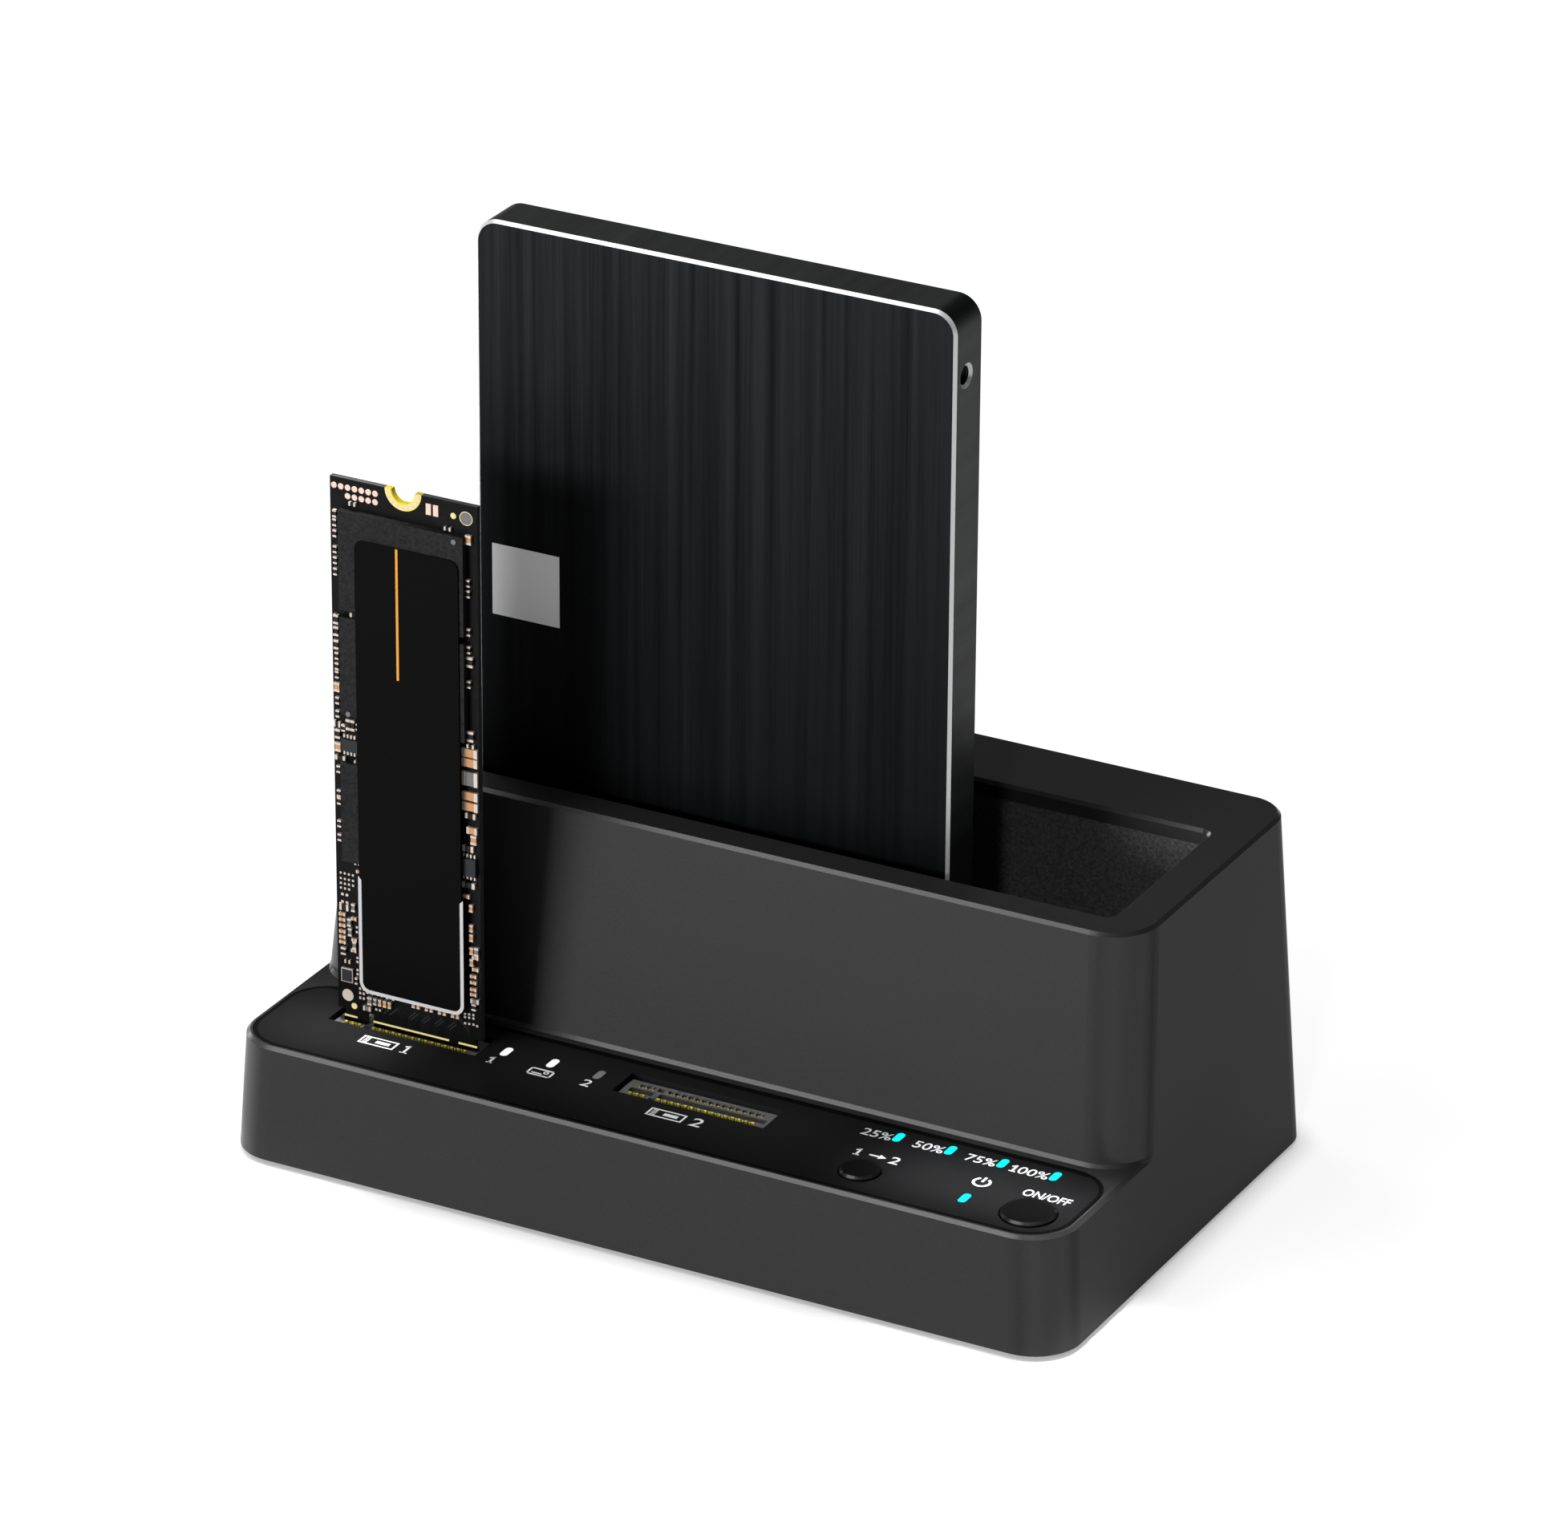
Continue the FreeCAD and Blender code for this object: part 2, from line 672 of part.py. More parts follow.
def upper_housing():
    """The one-piece deck and tower shell, open below, with its bosses and every opening."""
    body = doc.addObject("PartDesign::Body", "housing_shell")
    rim = as_size(0)
    deck = s.deck_height
    break_low = deck - s.edge_break
    deck_outline = outline(deck, front_at(deck) + s.edge_break)
    west, east, south, north, south_radius, north_radius = deck_outline
    deck_top = (west + s.edge_break, east - s.edge_break, south, north,
                south_radius - s.edge_break, north_radius)
    loft(body, "deck_block", "XY_Plane", [
        (rim_z + rim, outline(rim, front_at(rim))),
        (rim_z + break_low, outline(break_low, front_at(break_low))),
        (rim_z + deck, deck_top),
    ])
    flare_top = deck + s.edge_break
    tower_break = s.tower_height - s.edge_break
    tower_top = inset(outline(s.tower_height, tower_front_at(s.tower_height)), s.edge_break)
    loft(body, "tower_block", "XY_Plane", [
        (rim_z + break_low, outline(break_low, foot_y - s.edge_break)),
        (rim_z + deck, outline(deck, foot_y - s.edge_break)),
        (rim_z + flare_top, outline(flare_top, tower_front_at(flare_top))),
        (rim_z + tower_break, outline(tower_break, tower_front_at(tower_break))),
        (top_z, tower_top),
    ])
    hollow_top = deck_under - rim_z
    loft(body, "deck_hollow", "XY_Plane", [
        (rim_z + rim, inset(outline(rim, front_at(rim)), s.shell_wall)),
        (rim_z + hollow_top, inset(outline(hollow_top, front_at(hollow_top)), s.shell_wall)),
    ], cutting=True)
    hollow_low = hollow_top - s.shell_wall
    roof = s.tower_height - s.roof_wall
    loft(body, "tower_hollow", "XY_Plane", [
        (rim_z + hollow_low, inset(outline(hollow_low, tower_front_at(hollow_low)), s.shell_wall)),
        (rim_z + roof, inset(outline(roof, tower_front_at(roof)), s.shell_wall)),
    ], cutting=True)

    bosses = []
    for number, (x, y) in enumerate(cover_screw_places()):
        heights = (cover_top, deck_under + s.deck_floor / 2)
        bosses.append(rod(f"housing_boss_{number}", x, y, heights, s.boss_radius))
    for number, (x, y) in enumerate(tray_screw_places()):
        heights = (bay_floor, top_z - s.roof_wall / 2)
        bosses.append(rod(f"tray_post_{number}", x, y, heights, s.post_radius))
    solid = fuse("housing_with_bosses", [body] + bosses)

    tools = [slab("panel_recess", grow(panel_rect(), s.seat_gap), (panel_low, deck_z + 1))]
    for number, x in enumerate((slot_1_x, slot_2_x)):
        width = around(x, socket_length + s.slide_gap * 2)
        depth = around(slot_y, socket_depth + s.slide_gap * 2)
        tools.append(box(f"socket_opening_{number}", width, depth, (deck_under - 1, deck_z)))
    for name, x, radius in buttons():
        hole = radius + s.button_flange + s.slide_gap
        heights = (deck_under - 1, panel_low + s.panel_thick / 2)
        tools.append(rod(f"{name}_well", x, button_y, heights, hole))
    for name, x, y in lights():
        width = s.pill_width + s.seat_gap * 2
        length = s.pill_length + s.seat_gap * 2
        heights = (deck_under - 1, deck_z)
        tools.append(pill(f"{name}_passage", x, y, heights, width, length))
    tools.append(bay_mouth())
    for number, (x, y) in enumerate(cover_screw_places()):
        heights = (cover_top - 1, cover_top + s.cover_screw_length)
        radius = s.screw_radius + s.screw_gap
        tools.append(rod(f"boss_pilot_{number}", x, y, heights, radius))
    for number, (x, y) in enumerate(tray_screw_places()):
        heights = (bay_floor - 1, bay_floor + s.tray_screw_length)
        radius = s.tray_screw_radius + s.screw_gap
        tools.append(rod(f"post_pilot_{number}", x, y, heights, radius))
    tools += port_openings()
    return cut("upper_housing", solid, tools)


def panel_rect():
    """The control strip's outline."""
    half = side_x - s.panel_side_inset
    radius = s.panel_corner_radius
    return (-half, half, front_y + s.panel_front_inset, foot_y - s.panel_back_inset,
            radius, radius)


def bay_rect():
    """The bay's inner outline."""
    radius = s.bay_corner_radius
    return (bay_left, bay_right, bay_front, bay_back, radius, radius)


def bay_mouth():
    """The cutting tool for the bay's mouth through the roof, flared at its top edge."""
    body = doc.addObject("PartDesign::Body", "bay_mouth")
    rect = bay_rect()
    loft(body, "bay_mouth_shape", "XY_Plane", [
        (top_z - s.roof_wall - 1, rect),
        (top_z - s.edge_break, rect),
        (top_z, grow(rect, s.edge_break)),
        (top_z + 1, grow(rect, s.edge_break)),
    ])
    return body


def buttons():
    """Name, place and radius of each button's cap."""
    return [("clone_button", clone_x, s.clone_button_radius),
            ("power_button", power_x, s.power_button_radius)]


def status_lights():
    """Name and place of each status light."""
    return [(f"status_light_{n}", status_x + s.status_pitch * n, status_y)
            for n in range(STATUS_LIGHT_COUNT)]


def progress_lights():
    """Name and place of each progress light."""
    return [(f"progress_light_{n}", clone_x + s.progress_pitch * n, progress_y)
            for n in range(PROGRESS_LIGHT_COUNT)]


def lights():
    """Name and place of every light on the control strip."""
    return status_lights() + progress_lights() + [("power_light", power_light_x, button_y)]


def cover_screw_places():
    """The four screws that hold the bottom cover."""
    ys = (boss_front_y, back_y - s.boss_back_inset)
    return [(side, y) for side in (-boss_x, boss_x) for y in ys]


def tray_screw_places():
    """The four screws that hold the bay tray."""
    x = bay_right + s.tray_wall + s.post_gap + s.post_radius
    ys = (bay_front + s.post_end_inset, bay_back - s.post_end_inset)
    return [(side, y) for side in (-x, x) for y in ys]


def board_screw_places():
    """The four screws that hold the main board."""
    front = front_y + s.board_screw_front_inset
    back = back_y - s.board_screw_back_inset
    well_side = slot_2_x + well_length / 2 + s.board_screw_well_gap
    port_side = (data_port_x + power_inlet_x) / 2
    return [(status_x + s.status_pitch, front), (well_side, front), (-port_side, back),
            (port_side, back)]


def riser_limits():
    """The riser board's limits in X and Y, outside the posts that flank the drive socket."""
    south = bay_front + s.riser_front_gap
    margin = s.riser_post_radius + s.riser_screw_inset
    west = s.sata_x - flange_length / 2 - s.riser_left_gap - margin
    east = s.sata_x + flange_length / 2 + s.riser_right_gap + margin
    return (west, east), (south, south + s.riser_depth)


def riser_screw_places():
    """The four screws that hold the riser board."""
    width, depth = riser_limits()
    xs = (width[0] + s.riser_screw_inset, width[1] - s.riser_screw_inset)
    ys = (depth[0] + s.riser_screw_inset, depth[1] - s.riser_screw_inset)
    return [(x, y) for x in xs for y in ys]


def inlet_y():
    """The limits in Y of the power inlet's body."""
    back = back_at(board_top + s.power_inlet_height - rim_z) - s.shell_wall - s.port_gap
    return (back - s.power_inlet_depth, back)


def port_mouth(height):
    """How far back a port's mouth reaches at a height above the rim."""
    return back_at(height) - s.port_set_back


def port_openings():
    """Cutting tools for the two ports in the back wall."""
    start = inlet_y()[1] - 1
    length = s.shell_wall * 3
    inlet = bar("power_inlet_opening", "Y", power_inlet_x, start, inlet_z(),
                length, s.power_inlet_nose + s.port_gap)
    rect = grow(data_port_rect(), s.port_gap)
    data = upright_slab("data_port_opening", rect, (start, start + length))
    return [inlet, data]


def inlet_z():
    """The height of the power inlet's axis."""
    return board_top + s.power_inlet_height / 2


def data_port_rect():
    """The data port's outline in X and Z."""
    west, east = around(data_port_x, s.data_port_width)
    low = board_top
    radius = s.data_port_height * 0.45
    return (west, east, low, low + s.data_port_height, radius, radius)


def deck_panel():
    """The flush control strip with its wells, button holes and light holes."""
    base = slab("panel_blank", panel_rect(), (panel_low, deck_z))
    through = (panel_low - 1, deck_z + 1)
    tools = []
    for number, x in enumerate((slot_1_x, slot_2_x)):
        width = around(x, well_length)
        depth = around(slot_y, well_depth)
        tools.append(box(f"panel_well_{number}", width, depth, through))
    for name, x, radius in buttons():
        tools.append(rod(f"{name}_hole", x, button_y, through, radius + s.slide_gap))
    for name, x, y in lights():
        width = s.pill_width + s.screw_gap * 2
        length = s.pill_length + s.screw_gap * 2
        tools.append(pill(f"{name}_hole", x, y, through, width, length))
    return cut("deck_panel", base, tools)


def bottom_cover():
    """The plate that closes the shell, with standoffs, foot recesses and screw holes."""
    rim = as_size(0)
    inner = inset(outline(rim, front_at(rim)), s.shell_wall + s.seat_gap)
    top = s.cover_thick
    west, east, south, north, south_radius, north_radius = inner
    lean = tangent(s.side_draft) * top
    upper = (west + lean, east - lean, south + tangent(s.front_draft) * top,
             north - tangent(s.back_draft) * top, south_radius, north_radius)
    plate = doc.addObject("PartDesign::Body", "cover_plate")
    loft(plate, "cover_plate_shape", "XY_Plane", [(rim_z, inner), (cover_top, upper)])
    standoffs = []
    for number, (x, y) in enumerate(board_screw_places()):
        heights = (cover_top - s.cover_thick / 2, board_low)
        standoffs.append(rod(f"standoff_{number}", x, y, heights, s.standoff_radius))
    solid = fuse("cover_with_standoffs", [plate] + standoffs)
    tools = []
    for number, (x, y) in enumerate(foot_places()):
        heights = (rim_z - 1, rim_z + s.foot_recess)
        radius = s.foot_radius + s.seat_gap
        tools.append(rod(f"foot_recess_{number}", x, y, heights, radius))
    for number, (x, y) in enumerate(cover_screw_places()):
        radius = s.screw_radius + s.slide_gap
        tools.append(rod(f"cover_hole_{number}", x, y, (rim_z - 1, cover_top + 1), radius))
        head = (rim_z - 1, rim_z + s.screw_head_height)
        tools.append(rod(f"cover_sink_{number}", x, y, head, s.screw_head_radius + s.slide_gap))
    for number, (x, y) in enumerate(board_screw_places()):
        radius = s.screw_radius + s.screw_gap
        heights = (board_top - s.board_screw_length, board_low + 1)
        tools.append(rod(f"standoff_pilot_{number}", x, y, heights, radius))
    return cut("bottom_cover", solid, tools)


def foot_places():
    """The middles of the four rubber feet."""
    x = side_x - s.foot_side_inset
    ys = (front_y + s.foot_front_inset, back_y - s.foot_back_inset)
    return [(side, y) for side in (-x, x) for y in ys]


def rubber_feet():
    """Four round feet, bevelled where they meet the desk."""
    feet = []
    desk = as_size(0)
    for number, (x, y) in enumerate(foot_places()):
        edge = s.foot_radius - s.foot_edge
        bevel = cone(f"foot_bevel_{number}", x, y, (desk, s.foot_edge), edge, s.foot_radius)
        disc = rod(f"foot_disc_{number}", x, y, (s.foot_edge, rim_z + s.foot_recess), s.foot_radius)
        feet.append(fuse(f"foot_{number}", [bevel, disc]))
    return group("rubber_feet", feet)


def screw(name, x, y, seat, length, radius, head_radius, upwards):
    """A cross-head screw whose head rests at seat and whose shank runs up or down from it."""
    if upwards:
        shank = (seat, seat + length)
        head = (seat - s.screw_head_height, seat)
        cross = (head[0] - 1, head[0] + s.cross_depth)
    else:
        shank = (seat - length, seat)
        head = (seat, seat + s.screw_head_height)
        cross = (head[1] - s.cross_depth, head[1] + 1)
    solid = fuse(f"{name}_blank", [rod(f"{name}_shank", x, y, shank, radius),
                                   rod(f"{name}_head", x, y, head, head_radius)])
    wide = around(x, s.cross_length)
    narrow = around(x, s.cross_width)
    long_y = around(y, s.cross_length)
    short_y = around(y, s.cross_width)
    arms = [box(f"{name}_arm_x", wide, short_y, cross), box(f"{name}_arm_y", narrow, long_y, cross)]
    return cut(name, solid, arms)


def screws(name, places, seat, length, radius, head_radius, upwards):
    """Like screws at every place, as one node."""
    pieces = []
    for number, (x, y) in enumerate(places):
        label = f"{name}_{number}"
        pieces.append(screw(label, x, y, seat, length, radius, head_radius, upwards))
    return group(name, pieces)


def bay_tray():
    """The open box that lines the bay: four walls, a floor with the socket's opening, and ears."""
    roof_under = top_z - s.roof_wall
    outer = slab("tray_block", grow(bay_rect(), s.tray_wall), (tray_low, roof_under))
    ears = []
    side = side_at(bay_floor - rim_z) - s.shell_wall - s.seat_gap
    for number, (x, y) in enumerate(tray_screw_places()):
        inner = bay_right
        limits = (-side, -inner) if x.number < 0 else (inner, side)
        ears.append(box(f"tray_ear_{number}", limits, around(y, s.ear_depth), (tray_low, bay_floor)))
    posts = []
    for number, (x, y) in enumerate(riser_screw_places()):
        heights = (riser_top, bay_floor - s.tray_wall / 2)
        posts.append(rod(f"riser_post_{number}", x, y, heights, s.riser_post_radius))
    solid = fuse("tray_solid", [outer] + ears + posts)
    tools = [slab("tray_room", bay_rect(), (bay_floor, roof_under + 1))]
    tools.append(box("tray_socket_opening",
                     around(s.sata_x, nose_length + s.slide_gap * 2),
                     around(sata_y, nose_depth + s.slide_gap * 2),
                     (tray_low - 1, bay_floor + 1)))
    for number, (x, y) in enumerate(tray_screw_places()):
        radius = s.tray_screw_radius + s.slide_gap
        tools.append(rod(f"ear_hole_{number}", x, y, (tray_low - 1, bay_floor + 1), radius))
    for number, (x, y) in enumerate(riser_screw_places()):
        radius = s.tray_screw_radius + s.screw_gap
        heights = (riser_top - 1, riser_low + s.riser_screw_length)
        tools.append(rod(f"riser_pilot_{number}", x, y, heights, radius))
    return cut("bay_tray", solid, tools)


def button(name, x, radius):
    """A round cap with a lightly domed edge, its trapped flange and the stem to its switch."""
    top = deck_z + s.button_proud
    flange = radius + s.button_flange
    flange_low = panel_low - s.button_flange_thick
    stem_low = board_top + s.switch_body_height + s.plunger_height
    zero = as_size(0)
    return turned(name, x, button_y, [
        (zero, stem_low),
        (s.stem_radius, stem_low),
        (s.stem_radius, flange_low),
        (flange, flange_low),
        (flange, panel_low),
        (radius, panel_low),
        (radius, top - s.button_dome),
        (radius - s.button_dome, top),
        (zero, top),
    ])


def switch(name, x):
    """A tactile switch: its square body with a well, and the plunger that rises from it."""
    z = (board_top, board_top + s.switch_body_height)
    block = box(f"{name}_block", around(x, s.switch_width), around(button_y, s.switch_width), z)
    well_low = z[1] - s.button_travel - s.slide_gap * 2
    well = rod(f"{name}_well", x, button_y, (well_low, z[1] + 1), s.plunger_radius + s.slide_gap)
    body = cut(f"{name}_body", block, [well])
    heights = (well_low + s.button_travel + s.slide_gap, z[1] + s.plunger_height)
    plunger = rod(f"{name}_plunger", x, button_y, heights, s.plunger_radius)
    return [body, plunger]


def light_guides(name, places):
    """Clear bars that carry each lamp's light up to the strip's face."""
    low = board_top + s.led_height + s.light_gap
    pieces = []
    for label, x, y in places:
        pieces.append(pill(f"{label}_guide", x, y, (low, deck_z), s.pill_width, s.pill_length))
    return group(name, pieces)


def guide_frame(name, places):
    """A dark block under the deck that keeps one row's light apart."""
    margin = s.guide_frame_wall + s.seat_gap
    west = places[0][1] - s.pill_width / 2 - margin
    east = places[-1][1] + s.pill_width / 2 + margin
    depth = around(places[0][2], s.pill_length + margin * 2)
    block = box(f"{name}_block", (west, east), depth, (deck_under - s.guide_frame_height, deck_under))
    tools = []
    for label, x, y in places:
        heights = (deck_under - s.guide_frame_height - 1, deck_under + 1)
        width = s.pill_width + s.seat_gap * 2
        length = s.pill_length + s.seat_gap * 2
        tools.append(pill(f"{label}_bore", x, y, heights, width, length))
    return cut(name, block, tools)


def main_board():
    """The printed circuit board, with a tab that reaches under the power button."""
    z = (board_low, board_top)
    back = back_y - s.board_back_inset
    field = box("board_field", (-board_side, board_side), (board_front, back), z)
    reach = s.switch_width / 2 + s.board_tab_margin
    tab = box("board_tab", (board_side, power_x + reach), (board_front, button_y + reach), z)
    solid = fuse("board_solid", [field, tab])
    tools = []
    for number, (x, y) in enumerate(board_screw_places()):
        radius = s.screw_radius + s.slide_gap
        tools.append(rod(f"board_hole_{number}", x, y, (board_low - 1, board_top + 1), radius))
    return cut("main_board", solid, tools)


def key_x(slot_x):
    """The middle of the key between a socket's two contact groups."""
    return slot_x - key_offset


def contact_runs(slot_x):
    """The first contact and the number of contacts on each side of the key."""
    short = key_x(slot_x) - s.key_width / 2 - s.contact_pitch * SHORT_CONTACT_COUNT
    long = key_x(slot_x) + s.key_width / 2 + s.contact_pitch
    return [(short, SHORT_CONTACT_COUNT), (long, LONG_CONTACT_COUNT)]


def card_socket(name, x):
    """An upright card socket: a block with a keyed slot between two rows of contact pockets."""
    block = box(f"{name}_block", around(x, socket_length), around(slot_y, socket_depth),
                (board_top, socket_top))
    half_tab = tab_width / 2 + s.slide_gap
    slot_depth = around(slot_y, slot_gap)
    slot_low = card_tip - s.slide_gap
    heights = (slot_low, socket_top + 1)
    key_west = key_x(x) - s.key_width / 2 + s.slide_gap
    key_east = key_x(x) + s.key_width / 2 - s.slide_gap
    tools = [box(f"{name}_slot_short", (x - half_tab, key_west), slot_depth, heights)]
    tools.append(box(f"{name}_slot_long", (key_east, x + half_tab), slot_depth, heights))
    pocket = (socket_top - s.pocket_height, socket_top + 1)
    for side in (-1, 1):
        middle = slot_y + contact_row * side
        for number, (first, count) in enumerate(contact_runs(x)):
            start = first - s.contact_pitch / 2
            limits = (start, start + s.contact_pitch * count)
            label = f"{name}_pocket_{number}_{'front' if side < 0 else 'back'}"
            tools.append(box(label, limits, around(middle, s.pocket_depth), pocket))
    return cut(name, block, tools)


def socket_contacts(name, slot_x):
    """The sprung contacts that stand in a socket's two rows of pockets."""
    pocket_low = socket_top - s.pocket_height
    heights = (pocket_low, pocket_low + s.contact_height)
    pieces = []
    for side in (-1, 1):
        depth = around(slot_y + contact_row * side, s.contact_depth)
        for first, count in contact_runs(slot_x):
            for number in range(count):
                middle = first + s.contact_pitch * number
                label = f"{name}_{len(pieces)}"
                pieces.append(box(label, around(middle, s.contact_width), depth, heights))
    return group(name, pieces)


def card_face():
    """The front and back faces of the flash card's board."""
    return around(slot_y, s.card_thick)


def card_board():
    """The flash card's board: its narrower keyed tab below and half-round notch above."""
    top = card_tip + s.card_length
    front, back = card_face()
    x = slot_1_x
    block = box("card_blank", around(x, card_width), (front, back), (card_tip, top))
    through = (front - 1, back + 1)
    edge = card_width / 2 + 1
    half_tab = tab_width / 2
    tab_z = (card_tip - 1, card_tip + s.tab_height)
    tools = [box("tab_left_cut", (x - edge, x - half_tab), through, tab_z)]
    tools.append(box("tab_right_cut", (x + half_tab, x + edge), through, tab_z))
    tools.append(box("key_cut", around(key_x(x), s.key_width), through, tab_z))
    tools.append(bar("card_notch", "Y", x, front - 1, top, s.card_thick + 2,
                     s.notch_radius + s.ring_width))
    return cut("card_board", block, tools)


def card_ring():
    """The plated half ring that lines the card's notch."""
    top = card_tip + s.card_length
    front, back = card_face()
    outer = s.notch_radius + s.ring_width
    length = s.card_thick + s.plating * 2
    disc = bar("ring_disc", "Y", slot_1_x, front - s.plating, top, length, outer)
    hole = bar("ring_hole", "Y", slot_1_x, front - 1, top, s.card_thick + 2, s.notch_radius)
    above = box("ring_above", around(slot_1_x, outer * 3), (front - 1, back + 1), (top, top + outer * 2))
    return cut("card_ring", disc, [hole, above])


def card_fingers():
    """The gold contact pads on both faces of the card's tab."""
    front, back = card_face()
    faces = ((front - s.plating, front), (back, back + s.plating))
    heights = (card_tip, card_tip + s.finger_height)
    pieces = []
    for depth in faces:
        for first, count in contact_runs(slot_1_x):
            for number in range(count):
                middle = first + s.contact_pitch * number
                label = f"card_finger_{len(pieces)}"
                pieces.append(box(label, around(middle, s.finger_width), depth, heights))
    return group("card_fingers", pieces)


def chip_levels():
    """Each chip's shift across the card, top edge, width and length, from the card's top down."""
    first = card_tip + s.card_length - s.flash_top_gap
    second = first - s.flash_length - s.flash_gap
    memory = second - s.flash_length - s.memory_gap
    controller = memory - s.memory_length - s.controller_gap
    flash_width = card_width - s.flash_side_gap * 2
    middle = as_size(0)
    return [("card_flash_0", middle, first, flash_width, s.flash_length),
            ("card_flash_1", middle, second, flash_width, s.flash_length),
            ("card_memory", s.memory_shift, memory, s.memory_width, s.memory_length),
            ("card_controller", s.card_label_shift, controller, s.controller_width,
             s.controller_length)]


def card_chips():
    """The packages on the card's front face."""
    front = card_face()[0]
    depth = (front - s.chip_height, front)
    pieces = []
    for label, shift, top, width, length in chip_levels():
        pieces.append(box(label, around(slot_1_x + shift, width), depth, (top - length, top)))
    return group("card_chips", pieces)


def card_label():
    """The sticker that lies over the card's chips."""
    face = card_face()[0] - s.chip_height
    top = card_tip + s.card_length - s.card_label_top_gap
    west, east = around(slot_1_x + s.card_label_shift, s.card_label_width)
    low = card_tip + s.tab_height + s.card_label_low_gap
    radius = s.card_label_width / 12
    rect = (west, east, low, top, radius, radius)
    return upright_slab("card_label", rect, (face - s.card_label_thick, face))


def card_passives():
    """Small resistors and capacitors down both edges of the card."""
    front = card_face()[0]
    depth = (front - s.passive_height, front)
    middle = slot_1_x
    edge = card_width / 2 - s.passive_width
    low = card_tip + s.tab_height + s.passive_length
    pieces = []
    for side in (-1, 1):
        for number in range(EDGE_PASSIVE_COUNT):
            z = low + s.passive_pitch * number
            x = middle + edge * side
            label = f"card_passive_{len(pieces)}"
            pieces.append(box(label, around(x, s.passive_width), depth, around(z, s.passive_length)))
    return group("card_passives", pieces)


def sata_segments():
    """The limits in X of the signal slot and of the power slot."""
    total = s.signal_slot + s.slot_rib + s.power_slot
    west = s.sata_x - total / 2
    middle = west + s.signal_slot
    return (west, middle), (middle + s.slot_rib, middle + s.slot_rib + s.power_slot)


def sata_socket():
    """The drive socket: a flange on the riser board and a nose with two slots, up into the bay."""
    flange_top = riser_top + s.sata_flange_height
    nose_top = bay_floor + s.sata_rise
    flange = box("sata_flange", around(s.sata_x, flange_length), around(sata_y, flange_depth),
                 (riser_top, flange_top))
    nose = box("sata_nose", around(s.sata_x, nose_length), around(sata_y, nose_depth),
               (riser_top, nose_top))
    solid = fuse("sata_solid", [flange, nose])
    heights = (nose_top - s.sata_slot_floor, nose_top + 1)
    tools = []
    for number, limits in enumerate(sata_segments()):
        tools.append(box(f"sata_slot_{number}", limits, around(sata_y, s.sata_slot_depth), heights))
    return cut("sata_socket", solid, tools)


def sata_contacts():
    """The spring contacts along the front of the two slots."""
    low = bay_floor + s.sata_rise - s.sata_slot_floor
    south = sata_y - s.sata_slot_depth / 2
    depth = (south, south + s.pin_thick)
    pieces = []
    for limits, count in zip(sata_segments(), (SIGNAL_PIN_COUNT, POWER_PIN_COUNT)):
        middle = (limits[0] + limits[1]) / 2
        first = middle - s.pin_pitch * ((count - 1) / 2)
        for number in range(count):
            x = around(first + s.pin_pitch * number, s.pin_width)
            pieces.append(box(f"sata_contact_{len(pieces)}", x, depth, (low, low + s.pin_height)))
    return group("sata_contacts", pieces)


def riser_board():
    """The small board under the bay that carries the drive socket."""
    width, depth = riser_limits()
    block = box("riser_block", width, depth, (riser_low, riser_top))
    tools = []
    for number, (x, y) in enumerate(riser_screw_places()):
        radius = s.tray_screw_radius + s.slide_gap
        tools.append(rod(f"riser_hole_{number}", x, y, (riser_low - 1, riser_top + 1), radius))
    return cut("riser_board", block, tools)


def board_link():
    """The two halves of the stacking connector between the boards."""
    width, depth = riser_limits()
    east = width[1] - s.link_end_gap
    x = (east - s.link_length, east)
    back = depth[1] - s.link_back_gap
    y = (back - s.link_depth, back)
    split = board_top + s.link_split
    lower = box("link_header", x, y, (board_top, split))
    upper = box("link_receptacle", x, y, (split, riser_low))
    return [lower, upper]


def drive_rect():
    """The small drive's outline in X and Z."""
    west, east = around(drive_x, s.drive_width)
    radius = s.drive_corner_radius
    return (west, east, bay_floor, bay_floor + s.drive_height, radius, radius)


def drive_case():
    """The drive's metal tub, open at the back, with a bright break round its front face."""
    body = doc.addObject("PartDesign::Body", "case_block")
    rect = drive_rect()
    loft(body, "case_block_shape", "XZ_Plane", [
        (drive_back, rect),
        (drive_front + s.drive_edge_break, rect),
        (drive_front, inset(rect, s.drive_edge_break)),
    ])
    room = inset(rect, s.case_wall)
    hollow = upright_slab("case_room", room, (drive_front + s.case_wall, drive_back + 1))
    tub = cut("case_tub", body, [hollow])
    blocks = []
    for label, x, z in side_holes():
        inner = s.side_hole_depth + s.case_wall
        limits = (x, x + inner) if x.number < drive_x.number else (x - inner, x)
        depth = (drive_front + s.case_wall / 2, drive_back - s.lid_thick - s.seat_gap)
        blocks.append(box(f"{label}_boss", limits, depth, around(z, s.side_boss_width)))
    solid = fuse("case_solid", [tub] + blocks)
    tools = []
    hole_y = drive_front + s.side_hole_face_gap
    for label, x, z in side_holes():
        start = x - 1 if x.number < drive_x.number else x - s.side_hole_depth
        length = s.side_hole_depth + 1
        tools.append(bar(label, "X", start, hole_y, z, length, s.side_hole_radius))
    west, east = around(s.sata_x, plug_length + s.seat_gap * 2)
    y = around(sata_y, plug_depth + s.seat_gap * 2)
    tools.append(box("case_plug_opening", (west, east), y, (bay_floor - 1, bay_floor + s.case_wall + 1)))
    return cut("drive_case", solid, tools)


def side_holes():
    """Name, side face and height of each tapped hole in the drive's sides."""
    west, east = around(drive_x, s.drive_width)
    places = []
    for side, x in (("left", west), ("right", east)):
        for level, height in (("low", s.side_hole_low), ("high", s.side_hole_high)):
            places.append((f"side_hole_{side}_{level}", x, bay_floor + height))
    return places


